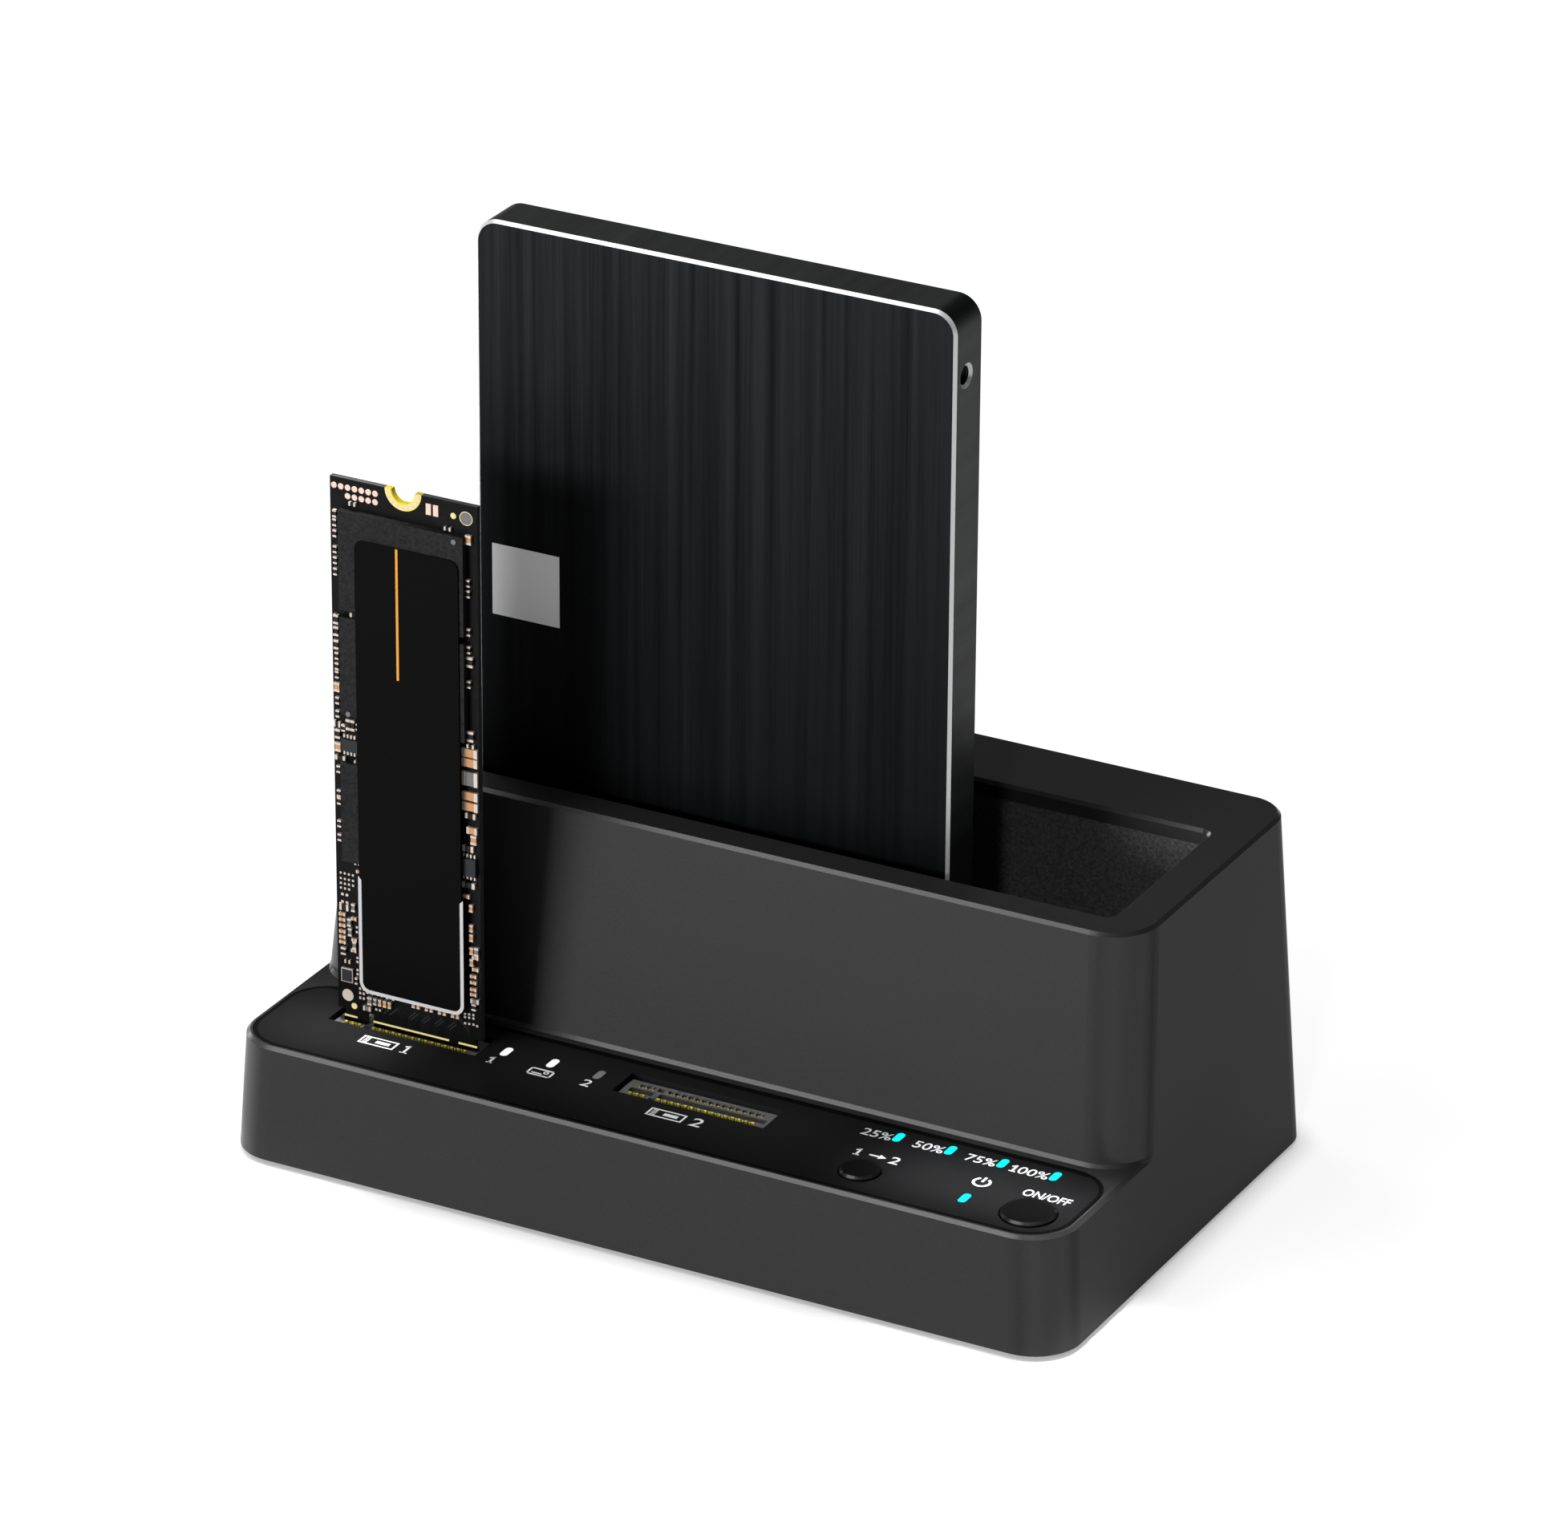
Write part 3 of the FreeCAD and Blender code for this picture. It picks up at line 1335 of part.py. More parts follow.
def drive_lid():
    """The plate that closes the drive's back."""
    rect = inset(drive_rect(), s.case_wall + s.seat_gap)
    return upright_slab("drive_lid", rect, (drive_back - s.lid_thick, drive_back))


def drive_plug():
    """The drive's recessed plug: a shroud round two blades that enter the socket's slots."""
    z = (bay_floor, bay_floor + plug_height)
    shroud = box("plug_shroud", around(s.sata_x, plug_length), around(sata_y, plug_depth), z)
    cavity_top = bay_floor + plug_height - s.tongue_floor
    cavity = box("plug_cavity", around(s.sata_x, cavity_length), around(sata_y, cavity_depth),
                 (bay_floor - 1, cavity_top))
    shell = cut("plug_shell", shroud, [cavity])
    blades = []
    for number, limits in enumerate(sata_segments()):
        x = (limits[0] + s.tongue_gap, limits[1] - s.tongue_gap)
        heights = (bay_floor + s.tongue_gap, z[1] - s.tongue_floor / 2)
        blades.append(box(f"plug_blade_{number}", x, around(sata_y, s.tongue_thick), heights))
    return fuse("drive_plug", [shell] + blades)


def drive_board_depth():
    """The drive board's faces, against the front of its lid's chips."""
    back = drive_back - s.lid_thick - s.drive_chip_height - s.slide_gap
    return (back - s.drive_board_thick, back)


def drive_board():
    """The circuit board inside the drive, over its plug."""
    low = bay_floor + plug_height
    inner = s.drive_width - s.side_hole_depth * 2 - s.case_wall * 2 - s.seat_gap * 2
    x = around(drive_x, inner)
    return box("drive_board", x, drive_board_depth(), (low, low + s.drive_board_height))


def drive_chips():
    """Flash packages on the drive's board, behind its lid."""
    back = drive_board_depth()[1]
    depth = (back, back + s.drive_chip_height)
    low = bay_floor + plug_height
    pieces = []
    for column in (-1, 1):
        for row in (1, 3):
            x = around(drive_x + s.drive_chip_size * column, s.drive_chip_size)
            z = around(low + s.drive_board_height * row / 4, s.drive_chip_size)
            pieces.append(box(f"drive_chip_{len(pieces)}", x, depth, z))
    return group("drive_chips", pieces)


def drive_sticker():
    """The small pale square on the drive's front face."""
    west = drive_x - s.drive_width / 2 + s.sticker_x_inset
    top = bay_floor + s.drive_height - s.sticker_top_gap
    depth = (drive_front - s.sticker_thick, drive_front)
    return box("drive_sticker", (west, west + s.sticker_size), depth, (top - s.sticker_size, top))


def power_inlet():
    """The barrel power inlet: a block with a round nose and bore, and the centre pin in it."""
    start, end = inlet_y()
    block = box("inlet_block", around(power_inlet_x, s.power_inlet_width), (start, end),
                (board_top, board_top + s.power_inlet_height))
    mouth = port_mouth(inlet_z() - rim_z)
    nose = bar("inlet_nose", "Y", power_inlet_x, end - 1, inlet_z(), mouth - end + 1,
               s.power_inlet_nose)
    solid = fuse("inlet_solid", [block, nose])
    floor = start + s.power_inlet_depth / 4
    bore = bar("inlet_bore", "Y", power_inlet_x, floor, inlet_z(), mouth - floor + 1,
               s.power_inlet_bore)
    body = cut("power_inlet", solid, [bore])
    pin = bar("power_inlet_pin", "Y", power_inlet_x, floor, inlet_z(), mouth - floor - 1,
              s.power_inlet_pin)
    return [body, pin]


def data_port():
    """The data port: a metal shell, and the tongue that stands in it."""
    mouth = port_mouth(board_top - rim_z)
    start = mouth - s.data_port_depth
    rect = data_port_rect()
    shell = upright_slab("port_blank", rect, (start, mouth))
    back_wall = start + s.data_port_shell * 2
    room = upright_slab("port_room", inset(rect, s.data_port_shell), (back_wall, mouth + 1))
    body = cut("data_port", shell, [room])
    z = around(board_top + s.data_port_height / 2, s.data_tongue_thick)
    tongue = box("data_port_tongue", around(data_port_x, s.data_tongue_width),
                 (back_wall, mouth - s.data_port_shell), z)
    return [body, tongue]


def bridge_chip():
    """The controller chip, and the finned spreader that sits on it."""
    y = back_y - s.bridge_chip_back_gap
    top = board_top + s.bridge_chip_height
    chip = box("bridge_chip", around(s.sata_x, s.bridge_chip_size),
               around(y, s.bridge_chip_size), (board_top, top))
    width = s.bridge_chip_size * 1.25
    block = box("spreader_block", around(s.sata_x, width), around(y, width),
                (top, top + s.spreader_height))
    pitch = width / 7
    gaps = []
    for number in (-2, 0, 2):
        middle = s.sata_x + pitch * number
        gaps.append(box(f"spreader_gap_{number + 2}", around(middle, pitch), around(y, width * 2),
                        (top + s.spreader_height / 4, top + s.spreader_height * 2)))
    return [chip, cut("heat_spreader", block, gaps)]


def capacitors():
    """Upright can capacitors by the power inlet's supply."""
    y = back_y - s.capacitor_back_gap
    heights = (board_top, board_top + s.capacitor_height)
    pieces = []
    for number in range(CAPACITOR_COUNT):
        x = s.capacitor_side_inset - side_x + s.capacitor_pitch * number
        pieces.append(rod(f"capacitor_{number}", x, y, heights, s.capacitor_radius))
    return group("capacitors", pieces)


def inductors():
    """Square moulded inductors of the voltage converters."""
    y = back_y - s.inductor_back_gap
    heights = (board_top, board_top + s.inductor_height)
    pieces = []
    for number in range(INDUCTOR_COUNT):
        x = data_port_x - s.inductor_gap - s.inductor_pitch * number
        pieces.append(box(f"inductor_{number}", around(x, s.inductor_size),
                          around(y, s.inductor_size), heights))
    return group("inductors", pieces)


def indicator_leds():
    """One lamp on the board under each light guide."""
    heights = (board_top, board_top + s.led_height)
    pieces = []
    for label, x, y in lights():
        pieces.append(box(f"{label}_lamp", around(x, s.led_width), around(y, s.led_length), heights))
    return group("indicator_leds", pieces)


def make_pieces():
    """Every sub-part by the name of its node."""
    pieces = {
        "upper_housing": upper_housing(),
        "deck_panel": deck_panel(),
        "bottom_cover": bottom_cover(),
        "rubber_feet": rubber_feet(),
        "bay_tray": bay_tray(),
        "main_board": main_board(),
        "riser_board": riser_board(),
        "sata_socket": sata_socket(),
        "sata_contacts": sata_contacts(),
        "card_socket_1": card_socket("card_socket_1", slot_1_x),
        "card_socket_2": card_socket("card_socket_2", slot_2_x),
        "card_contacts_1": socket_contacts("card_contacts_1", slot_1_x),
        "card_contacts_2": socket_contacts("card_contacts_2", slot_2_x),
        "lit_status_guides": light_guides("lit_status_guides", status_lights()[:-1]),
        "idle_status_guide": light_guides("idle_status_guide", status_lights()[-1:]),
        "progress_guides": light_guides("progress_guides", progress_lights()),
        "power_guide": light_guides("power_guide", lights()[-1:]),
        "status_guide_frame": guide_frame("status_guide_frame", status_lights()),
        "progress_guide_frame": guide_frame("progress_guide_frame", progress_lights()),
        "power_guide_frame": guide_frame("power_guide_frame", lights()[-1:]),
        "indicator_leds": indicator_leds(),
        "capacitors": capacitors(),
        "inductors": inductors(),
        "drive_case": drive_case(),
        "drive_lid": drive_lid(),
        "drive_plug": drive_plug(),
        "drive_board": drive_board(),
        "drive_chips": drive_chips(),
        "drive_sticker": drive_sticker(),
        "card_board": card_board(),
        "card_ring": card_ring(),
        "card_fingers": card_fingers(),
        "card_chips": card_chips(),
        "card_label": card_label(),
        "card_passives": card_passives(),
    }
    for name, x, radius in buttons():
        pieces[name] = button(name, x, radius)
        label = name.replace("button", "switch")
        pieces[f"{label}_body"], pieces[f"{label}_plunger"] = switch(label, x)
    pieces["power_inlet"], pieces["power_inlet_pin"] = power_inlet()
    pieces["data_port"], pieces["data_port_tongue"] = data_port()
    pieces["bridge_chip"], pieces["heat_spreader"] = bridge_chip()
    pieces["link_header"], pieces["link_receptacle"] = board_link()
    cover_seat = rim_z + s.screw_head_height
    pieces["housing_screws"] = screws("housing_screws", cover_screw_places(), cover_seat,
                                      s.cover_screw_length, s.screw_radius,
                                      s.screw_head_radius, True)
    pieces["board_screws"] = screws("board_screws", board_screw_places(), board_top,
                                    s.board_screw_length, s.screw_radius,
                                    s.screw_head_radius, False)
    pieces["tray_screws"] = screws("tray_screws", tray_screw_places(), tray_low,
                                   s.tray_screw_length, s.tray_screw_radius,
                                   s.tray_screw_head_radius, True)
    pieces["riser_screws"] = screws("riser_screws", riser_screw_places(), riser_low,
                                    s.riser_screw_length, s.tray_screw_radius,
                                    s.tray_screw_head_radius, True)
    return pieces


def check(pieces):
    """Stops if any object failed or any sub-part has no sound solid."""
    for thing in doc.Objects:
        if "Invalid" in thing.State or "Error" in thing.State:
            raise RuntimeError(f"{thing.Label} failed: {thing.State}")
    for name, piece in pieces.items():
        shape = piece.Shape
        if shape.isNull() or not shape.isValid() or not shape.Solids:
            raise RuntimeError(f"{name} has no valid solid")


parts = make_pieces()
for node, piece in parts.items():
    piece.Label = node
doc.recompute()
check(parts)
for node, piece in parts.items():
    piece.Shape.exportStep(f"parts/{node}.step")
    bounds = piece.Shape.BoundBox
    print(f"{node}: {len(piece.Shape.Solids)} solids, x {bounds.XMin:.2f} to {bounds.XMax:.2f}, "
          f"y {bounds.YMin:.2f} to {bounds.YMax:.2f}, z {bounds.ZMin:.2f} to {bounds.ZMax:.2f}")
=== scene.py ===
# %% [markdown]
# A drive duplicator, dressed
#
# The object is a small desktop dock: a black plastic shell with a control strip along its low deck
# and a tower that holds a drive. A bare flash card stands in the first of its two card slots.
# The pieces that fit and move come ready made, in metres, as a fixed frame. This lesson gives each
# of them its finish and models the small things that are only there to be seen.

from math import cos, degrees, pi, radians, sin

import bmesh
import bpy
from mathutils import Matrix, Quaternion, Vector


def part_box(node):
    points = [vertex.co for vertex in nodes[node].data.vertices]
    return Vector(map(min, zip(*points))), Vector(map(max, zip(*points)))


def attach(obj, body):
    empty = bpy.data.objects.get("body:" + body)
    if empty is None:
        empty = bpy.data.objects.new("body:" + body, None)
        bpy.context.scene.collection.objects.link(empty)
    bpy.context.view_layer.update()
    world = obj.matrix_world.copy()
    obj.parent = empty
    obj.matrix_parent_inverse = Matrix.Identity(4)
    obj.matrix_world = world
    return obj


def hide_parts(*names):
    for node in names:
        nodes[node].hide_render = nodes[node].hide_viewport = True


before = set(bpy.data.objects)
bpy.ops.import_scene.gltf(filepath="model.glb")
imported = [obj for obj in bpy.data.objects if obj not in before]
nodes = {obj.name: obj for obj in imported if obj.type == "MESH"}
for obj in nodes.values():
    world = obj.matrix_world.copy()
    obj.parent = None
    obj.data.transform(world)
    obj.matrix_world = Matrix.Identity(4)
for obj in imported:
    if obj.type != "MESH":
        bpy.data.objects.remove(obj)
scene = bpy.context.scene
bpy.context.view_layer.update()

# %% [markdown]
# Working in millimetres
#
# A dock is measured in millimetres, so the sizes below are millimetres too, and a piece is shrunk
# to metres once, when its mesh is finished. `low_high` reads the place of a ready made piece in the
# same unit, so that a new piece can be set against it.

# %% Millimetres
MM = 0.001


def low_high(node):
    """The lowest and highest corner of a ready made piece, in millimetres."""
    low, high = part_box(node)
    return low / MM, high / MM


deck_low, deck_high = low_high("deck_panel")
card_low, card_high = low_high("card_board")
drive_low, drive_high = low_high("drive_case")
print("the deck's top is at", round(deck_high.z, 2), "mm and the drive's at", round(drive_high.z, 2))

# %% [markdown]
# Shader maths as Python
#
# A procedural finish is mostly sums: a noise times a strength, plus a tone. Wiring each sum by hand
# hides what it says. `Signal` wraps a node's output so that `1 - mask * 0.4` adds the Math nodes by
# itself, and `Finish` makes any other node with one method.

# %% Signals and finishes
class Signal:
    """One output of a shader node, on which arithmetic adds Math nodes."""

    def __init__(self, finish, output):
        self.finish = finish
        self.output = output

    def math(self, operation, *values):
        sockets = dict(enumerate(values))
        return self.finish.add("ShaderNodeMath", {"operation": operation}, sockets)

    def __add__(self, other):
        return self.math("ADD", self, other)

    def __radd__(self, other):
        return self.math("ADD", other, self)

    def __sub__(self, other):
        return self.math("SUBTRACT", self, other)

    def __rsub__(self, other):
        return self.math("SUBTRACT", other, self)

    def __mul__(self, other):
        return self.math("MULTIPLY", self, other)

    def __rmul__(self, other):
        return self.math("MULTIPLY", other, self)

    def above(self, other):
        return self.math("GREATER_THAN", self, other)

    def size(self):
        return self.math("ABSOLUTE", self)

    def fraction(self):
        return self.math("FRACT", self)

    def ramp(self, low, high):
        """Rises from 0 to 1 while the signal goes from `low` to `high`."""
        sockets = {"Value": self, "From Min": low, "From Max": high}
        return self.finish.add("ShaderNodeMapRange", {"clamp": True}, sockets)


class Finish:
    """A material with one Principled shader and the nodes that vary it over the surface."""

    def __init__(self, name, **constants):
        self.material = bpy.data.materials.new(name)
        self.material.use_nodes = True
        self.tree = self.material.node_tree
        self.shader = self.tree.nodes["Principled BSDF"]
        for socket, value in constants.items():
            self.shader.inputs[socket.replace("_", " ")].default_value = value
        self.material.diffuse_color = self.shader.inputs["Base Color"].default_value

    def add(self, kind, settings=None, sockets=None, output=0):
        """A node of one kind: its settings first, then the values or links of its sockets."""
        node = self.tree.nodes.new(kind)
        for setting, value in (settings or {}).items():
            setattr(node, setting, value)
        for socket, value in (sockets or {}).items():
            if isinstance(value, Signal):
                self.tree.links.new(value.output, node.inputs[socket])
            else:
                node.inputs[socket].default_value = value
        return Signal(self, node.outputs[output])

    def feed(self, socket, signal):
        """Lets a signal drive one socket of the shader."""
        self.tree.links.new(signal.output, self.shader.inputs[socket])

    def place(self, stretch=(1, 1, 1)):
        """The point on the piece in millimetres, stretched along its axes."""
        point = self.add("ShaderNodeTexCoord", output="Object")
        scale = tuple(factor / MM for factor in stretch)
        return self.add("ShaderNodeVectorMath", {"operation": "MULTIPLY"}, {0: point, 1: scale})

    def split(self, vector, axis):
        """One axis of a vector signal."""
        return self.add("ShaderNodeSeparateXYZ", {}, {0: vector}, output="XYZ".index(axis))

    def along(self, axis):
        """The place on the piece along one axis, in millimetres."""
        return self.split(self.place(), axis)

    def lean(self, axis):
        """How far the surface faces one axis, from -1 to 1."""
        return self.split(self.add("ShaderNodeNewGeometry", output="Normal"), axis)

    def noise(self, size, detail=2.0, stretch=(1, 1, 1)):
        """Cloudy noise from 0 to 1 whose features are about `size` millimetres wide."""
        sockets = {"Vector": self.place(stretch), "Scale": 1 / size, "Detail": detail}
        return self.add("ShaderNodeTexNoise", {}, sockets)

    def tint(self, factor, first, second):
        """Mixes two colours by a factor."""
        settings = {"data_type": "RGBA", "clamp_factor": True}
        return self.add("ShaderNodeMix", settings, {0: factor, 6: first, 7: second}, output=2)

    def relief(self, height, depth):
        """Raises the surface by a height signal times a depth in millimetres."""
        sockets = {"Height": height, "Strength": 1.0, "Distance": depth * MM}
        self.feed("Normal", self.add("ShaderNodeBump", {}, sockets))


def linear(red, green, blue):
    """A screen colour of 0 to 255 as the linear colour that a shader takes."""
    def channel(value):
        share = value / 255
        return share / 12.92 if share <= 0.04045 else ((share + 0.055) / 1.055) ** 2.4
    return (channel(red), channel(green), channel(blue), 1.0)


def times(tone, share):
    """A colour made darker or lighter by a share."""
    return tuple(value * share for value in tone[:3]) + (1.0,)


print("a mid grey is", [round(value, 3) for value in linear(128, 128, 128)[:3]])

# %% [markdown]
# Moulded plastic
#
# The shell, the cover, the bay and the panel come out of steel moulds that were eroded by sparks,
# which leaves a fine even grain. A grain picture could be used, but noise on the piece's own
# coordinates has no seams and stays in place when the piece moves. One noise makes the speckle and
# the relief, and a much wider one lets the tone drift a little, as a large moulding's does. Hands
# and cloths polish a moulding's edges first, so the surface that faces halfway between the flats
# gets a clear, smooth coat.

# %% Plastic finishes
DRIFT_SIZE = 38.0
POLISH_ROUGHNESS = 0.25
CORNER_POLISH = 0.6


def moulded_plastic(name, tone, roughness, grain, depth, gloss, speckle=0.12, polish=False):
    """Plastic whose spark-eroded grain has a width and a depth in millimetres."""
    finish = Finish(name, Base_Color=tone, Roughness=roughness, Specular_IOR_Level=gloss)
    fine = finish.noise(grain, detail=3.0)
    broad = finish.noise(DRIFT_SIZE, detail=1.0)
    shade = fine * 1.6 - 0.5 + broad * 0.4
    finish.feed("Base Color", finish.tint(shade, times(tone, 1 - speckle), times(tone, 1 + speckle)))
    finish.feed("Roughness", roughness - 0.04 + broad * 0.08)
    finish.relief(fine, depth)
    if polish:
        finish.shader.inputs["Coat Roughness"].default_value = POLISH_ROUGHNESS
        up = finish.lean("Z")
        level_edges = up.ramp(0.3, 0.4) * (1 - up.ramp(0.88, 0.96))
        corners = (finish.lean("X") * finish.lean("Y")).size().ramp(0.2, 0.42)
        finish.feed("Coat Weight", (level_edges + corners * CORNER_POLISH).ramp(0.0, 1.0))
    return finish.material


housing_black = moulded_plastic(
    "housing_grain", linear(46, 46, 46), 0.5, 0.28, 0.012, gloss=0.15, polish=True,
)
cover_black = moulded_plastic("cover_grain", linear(38, 38, 39), 0.62, 0.35, 0.02, 0.2)
# The bay's plastic is set lighter than the shell's black: painted light in the deep, shaded bay.
bay_painted_light = moulded_plastic("bay_coarse_grain_painted_light", linear(84, 84, 84), 0.6, 0.4, 0.06, 0.2, 0.6)
panel_black = moulded_plastic("panel_satin", linear(26, 26, 27), 0.42, 0.2, 0.004, 0.05)
button_black = moulded_plastic(
    "button_satin", linear(9, 9, 9), 0.4, 0.2, 0.004, gloss=0.1, polish=True,
)
socket_grey = moulded_plastic("socket_nylon", linear(98, 98, 98), 0.55, 0.3, 0.006, 0.3)
frame_black = moulded_plastic("light_frame_plastic", linear(20, 20, 20), 0.6, 0.3, 0.01, 0.4)
foot_rubber = moulded_plastic("foot_rubber", linear(30, 30, 30), 0.85, 0.4, 0.03, 0.2)
print("plastics:", len(bpy.data.materials))

# %% [markdown]
# Metals
#
# The drive's case is aluminium, brushed and dyed black, and its front edge is cut again after
# dyeing, so that it is bright. Brushing leaves long streaks up its front and along its sides.
# Noise gives such streaks when it is squeezed across the brush and stretched along it.

# %% Metal finishes
BRUSHED_ROUGHNESS = 0.43
BRUSHED_GLOSS = 0.2
STREAK_STRETCH = 0.012
PAINTED_SHADE_STARTS = 20.0


def brushed_metal(name, tone, bright, metallic, along="Z", painted_foot_shade=0.0, width=1.6):
    """Dyed aluminium with streaks along one axis, and painted shade that darkens it towards its foot by a
    share.
    """
    finish = Finish(
        name, Base_Color=tone, Metallic=metallic,
        Roughness=BRUSHED_ROUGHNESS, Specular_IOR_Level=BRUSHED_GLOSS,
    )
    squeeze = tuple(STREAK_STRETCH if axis == along else 1.0 for axis in "XYZ")
    fine = finish.noise(0.22, stretch=squeeze)
    broad = finish.noise(width, detail=3.0, stretch=squeeze)
    streaks = broad * 1.5 - 0.45 + fine * 0.3
    # Painted shade: the tone darkens from the top down to a little above the foot, as if light fell from
    # above.
    height = finish.along("Z").ramp(drive_low.z + PAINTED_SHADE_STARTS, drive_high.z)
    shade = streaks * (1 - painted_foot_shade + height * painted_foot_shade)
    finish.feed("Base Color", finish.tint(shade, tone, bright))
    finish.feed("Roughness", BRUSHED_ROUGHNESS - 0.08 + fine * 0.16)
    finish.relief(fine, 0.003)
    return finish.material


def plain_metal(name, tone, roughness, metallic=1.0, wear=0.15):
    """Metal with slight cloudy stains."""
    finish = Finish(name, Base_Color=tone, Metallic=metallic, Roughness=roughness)
    cloud = finish.noise(2.5, detail=4.0)
    finish.feed("Base Color", finish.tint(cloud, times(tone, 1 - wear), tone))
    finish.feed("Roughness", roughness - 0.05 + cloud * 0.1)
    return finish.material


FRONT_TONES = (linear(7, 8, 9), linear(42, 44, 46))
SIDE_TONES = (linear(10, 11, 11), linear(54, 57, 57))
# The front gets painted shade that darkens it towards its foot.
drive_front = brushed_metal("front_brushed_aluminium", *FRONT_TONES, 0.92, painted_foot_shade=0.8)
drive_side = brushed_metal("side_brushed_aluminium", *SIDE_TONES, 0.5, along="Y", width=2.8)
bright_edge = plain_metal("cut_bright_edge", linear(240, 240, 241), 0.3, metallic=0.4, wear=0.05)
contact_gold = plain_metal("contact_gold", linear(250, 224, 40), 0.3, metallic=0.35, wear=0.1)
spring_gold = plain_metal("spring_gold", linear(255, 236, 46), 0.35, metallic=0.1, wear=0.08)
screw_steel = plain_metal("screw_steel", linear(150, 150, 152), 0.35)
port_steel = plain_metal("port_steel", linear(190, 190, 192), 0.28)
spreader = plain_metal("spreader_aluminium", linear(160, 162, 165), 0.45)
can_metal = plain_metal("capacitor_can", linear(185, 186, 188), 0.35)
print("metals are ready")

# %% [markdown]
# Circuit boards and what is on them
#
# A board is glass cloth and resin under a coloured mask. The mask is thin, so the copper tracks
# stand out under it as faint raised lines. Chips are moulded in black resin with a fine sandy skin.

# %% Board finishes
TRACK_CELL = 1.9
RINGS_IN_CELL = 9.0
BETWEEN_TRACKS = 0.72


def solder_mask(name, tone, track, core, faces, gloss=0.45):
    """A board's mask with tracks that show faintly under it, and the bare core at its cut edge."""
    finish = Finish(name, Base_Color=tone, Roughness=0.34, Specular_IOR_Level=gloss)
    cells = finish.add(
        "ShaderNodeTexVoronoi",
        {"distance": "CHEBYCHEV"},
        {"Vector": finish.place(), "Scale": 1 / TRACK_CELL},
    )
    lines = (cells * RINGS_IN_CELL).fraction().above(BETWEEN_TRACKS)
    skin = finish.tint(lines * 0.6, tone, track)
    finish.feed("Base Color", finish.tint(finish.lean(faces).size().above(0.5), core, skin))
    finish.relief(lines, 0.012)
    return finish.material


def plain_finish(name, tone, roughness, gloss=0.5, spread=0.1, size=1.2):
    """A smooth material whose tone drifts a little."""
    finish = Finish(name, Base_Color=tone, Roughness=roughness, Specular_IOR_Level=gloss)
    cloud = finish.noise(size, detail=3.0)
    finish.feed("Base Color", finish.tint(cloud, times(tone, 1 - spread), tone))
    finish.feed("Roughness", roughness - 0.03 + cloud * 0.06)
    return finish.material


GREEN, GREEN_TRACK, GREEN_CORE = linear(16, 52, 34), linear(30, 84, 56), linear(120, 128, 84)
BLACK, BLACK_TRACK, BLACK_CORE = linear(6, 6, 7), linear(13, 13, 14), linear(84, 84, 86)
board_green = solder_mask("main_board_mask", GREEN, GREEN_TRACK, GREEN_CORE, "Z")
drive_green = solder_mask("drive_board_mask", GREEN, GREEN_TRACK, GREEN_CORE, "Y")
card_black = solder_mask("card_mask", BLACK, BLACK_TRACK, BLACK_CORE, "Y", gloss=0.12)
chip_black = moulded_plastic("chip_resin", linear(29, 29, 30), 0.6, 0.4, 0.03, 0.12, 0.9)
part_dark = plain_finish("part_dark", linear(30, 22, 20), 0.4, gloss=0.2)
part_tan = plain_finish("part_tan", linear(206, 150, 98), 0.45)
part_grey = plain_finish("part_grey", linear(112, 110, 110), 0.45)
part_slate = plain_finish("part_slate", linear(40, 41, 45), 0.45, gloss=0.2)
part_end = plain_metal("tinned_end", linear(220, 208, 196), 0.4, metallic=0.3)
copper_pad = plain_finish("copper_pad", linear(248, 214, 196), 0.4, spread=0.04)
pale_gold = plain_finish("pale_gold", linear(244, 226, 158), 0.4, spread=0.06)
track_grey = plain_finish("track_under_mask", linear(36, 36, 39), 0.4, gloss=0.3)
# The sticker is near white: its own pale grey, lifted as painted light against the card's shadow on it.
sticker_grey = plain_finish("sticker_grey", linear(252, 252, 252), 0.5, spread=0.03, size=6.0)
label_black = plain_finish("label_film", linear(5, 5, 6), 0.5, gloss=0.04, spread=0.15, size=14.0)
label_silver = plain_finish("label_silver", linear(205, 205, 207), 0.4, spread=0.04)
label_orange = plain_finish("label_orange", linear(238, 160, 40), 0.45, spread=0.05)
print("finishes so far:", len(bpy.data.materials))

# %% [markdown]
# Light guides and print
#
# The small pills in the deck are clear plastic pins that carry light up from diodes on the board.
# They glow evenly, so each is a finish that gives off its own colour, and its own surface is dark,
# so that a lamp over the deck doesn't wash the colour out. The marks are a thin layer of white ink.

# %% Lights and ink
UNLIT_SHARE = 0.1
DIM_SHARE = 0.88


def glowing(name, tone):
    """Milky plastic that is lit from below, and dark where only the room lights it."""
    finish = Finish(name, Base_Color=times(tone, UNLIT_SHARE), Roughness=0.35, Emission_Strength=1.0)
    cloud = finish.noise(0.9, detail=1.0)
    finish.feed("Emission Color", finish.tint(cloud, times(tone, DIM_SHARE), tone))
    return finish.material


lit_white = glowing("lit_white", linear(255, 255, 255))
lit_cyan = glowing("lit_cyan", linear(0, 250, 255))
unlit_grey = plain_finish("unlit_guide", linear(128, 128, 128), 0.35)
gap_black = plain_finish("panel_gap_black", linear(7, 7, 7), 0.7, gloss=0.05)
white_ink = plain_finish("white_ink", linear(244, 244, 244), 0.5, spread=0.05)
lamp_resin = plain_finish("lamp_resin", linear(230, 226, 200), 0.3)
print("lights and ink are ready")

# %% [markdown]
# Dressing the ready made pieces
#
# A ready made piece keeps its shape and takes a finish by its material slot. The list says which
# pieces share a finish, from the shell's plastic to the film of the card's label.

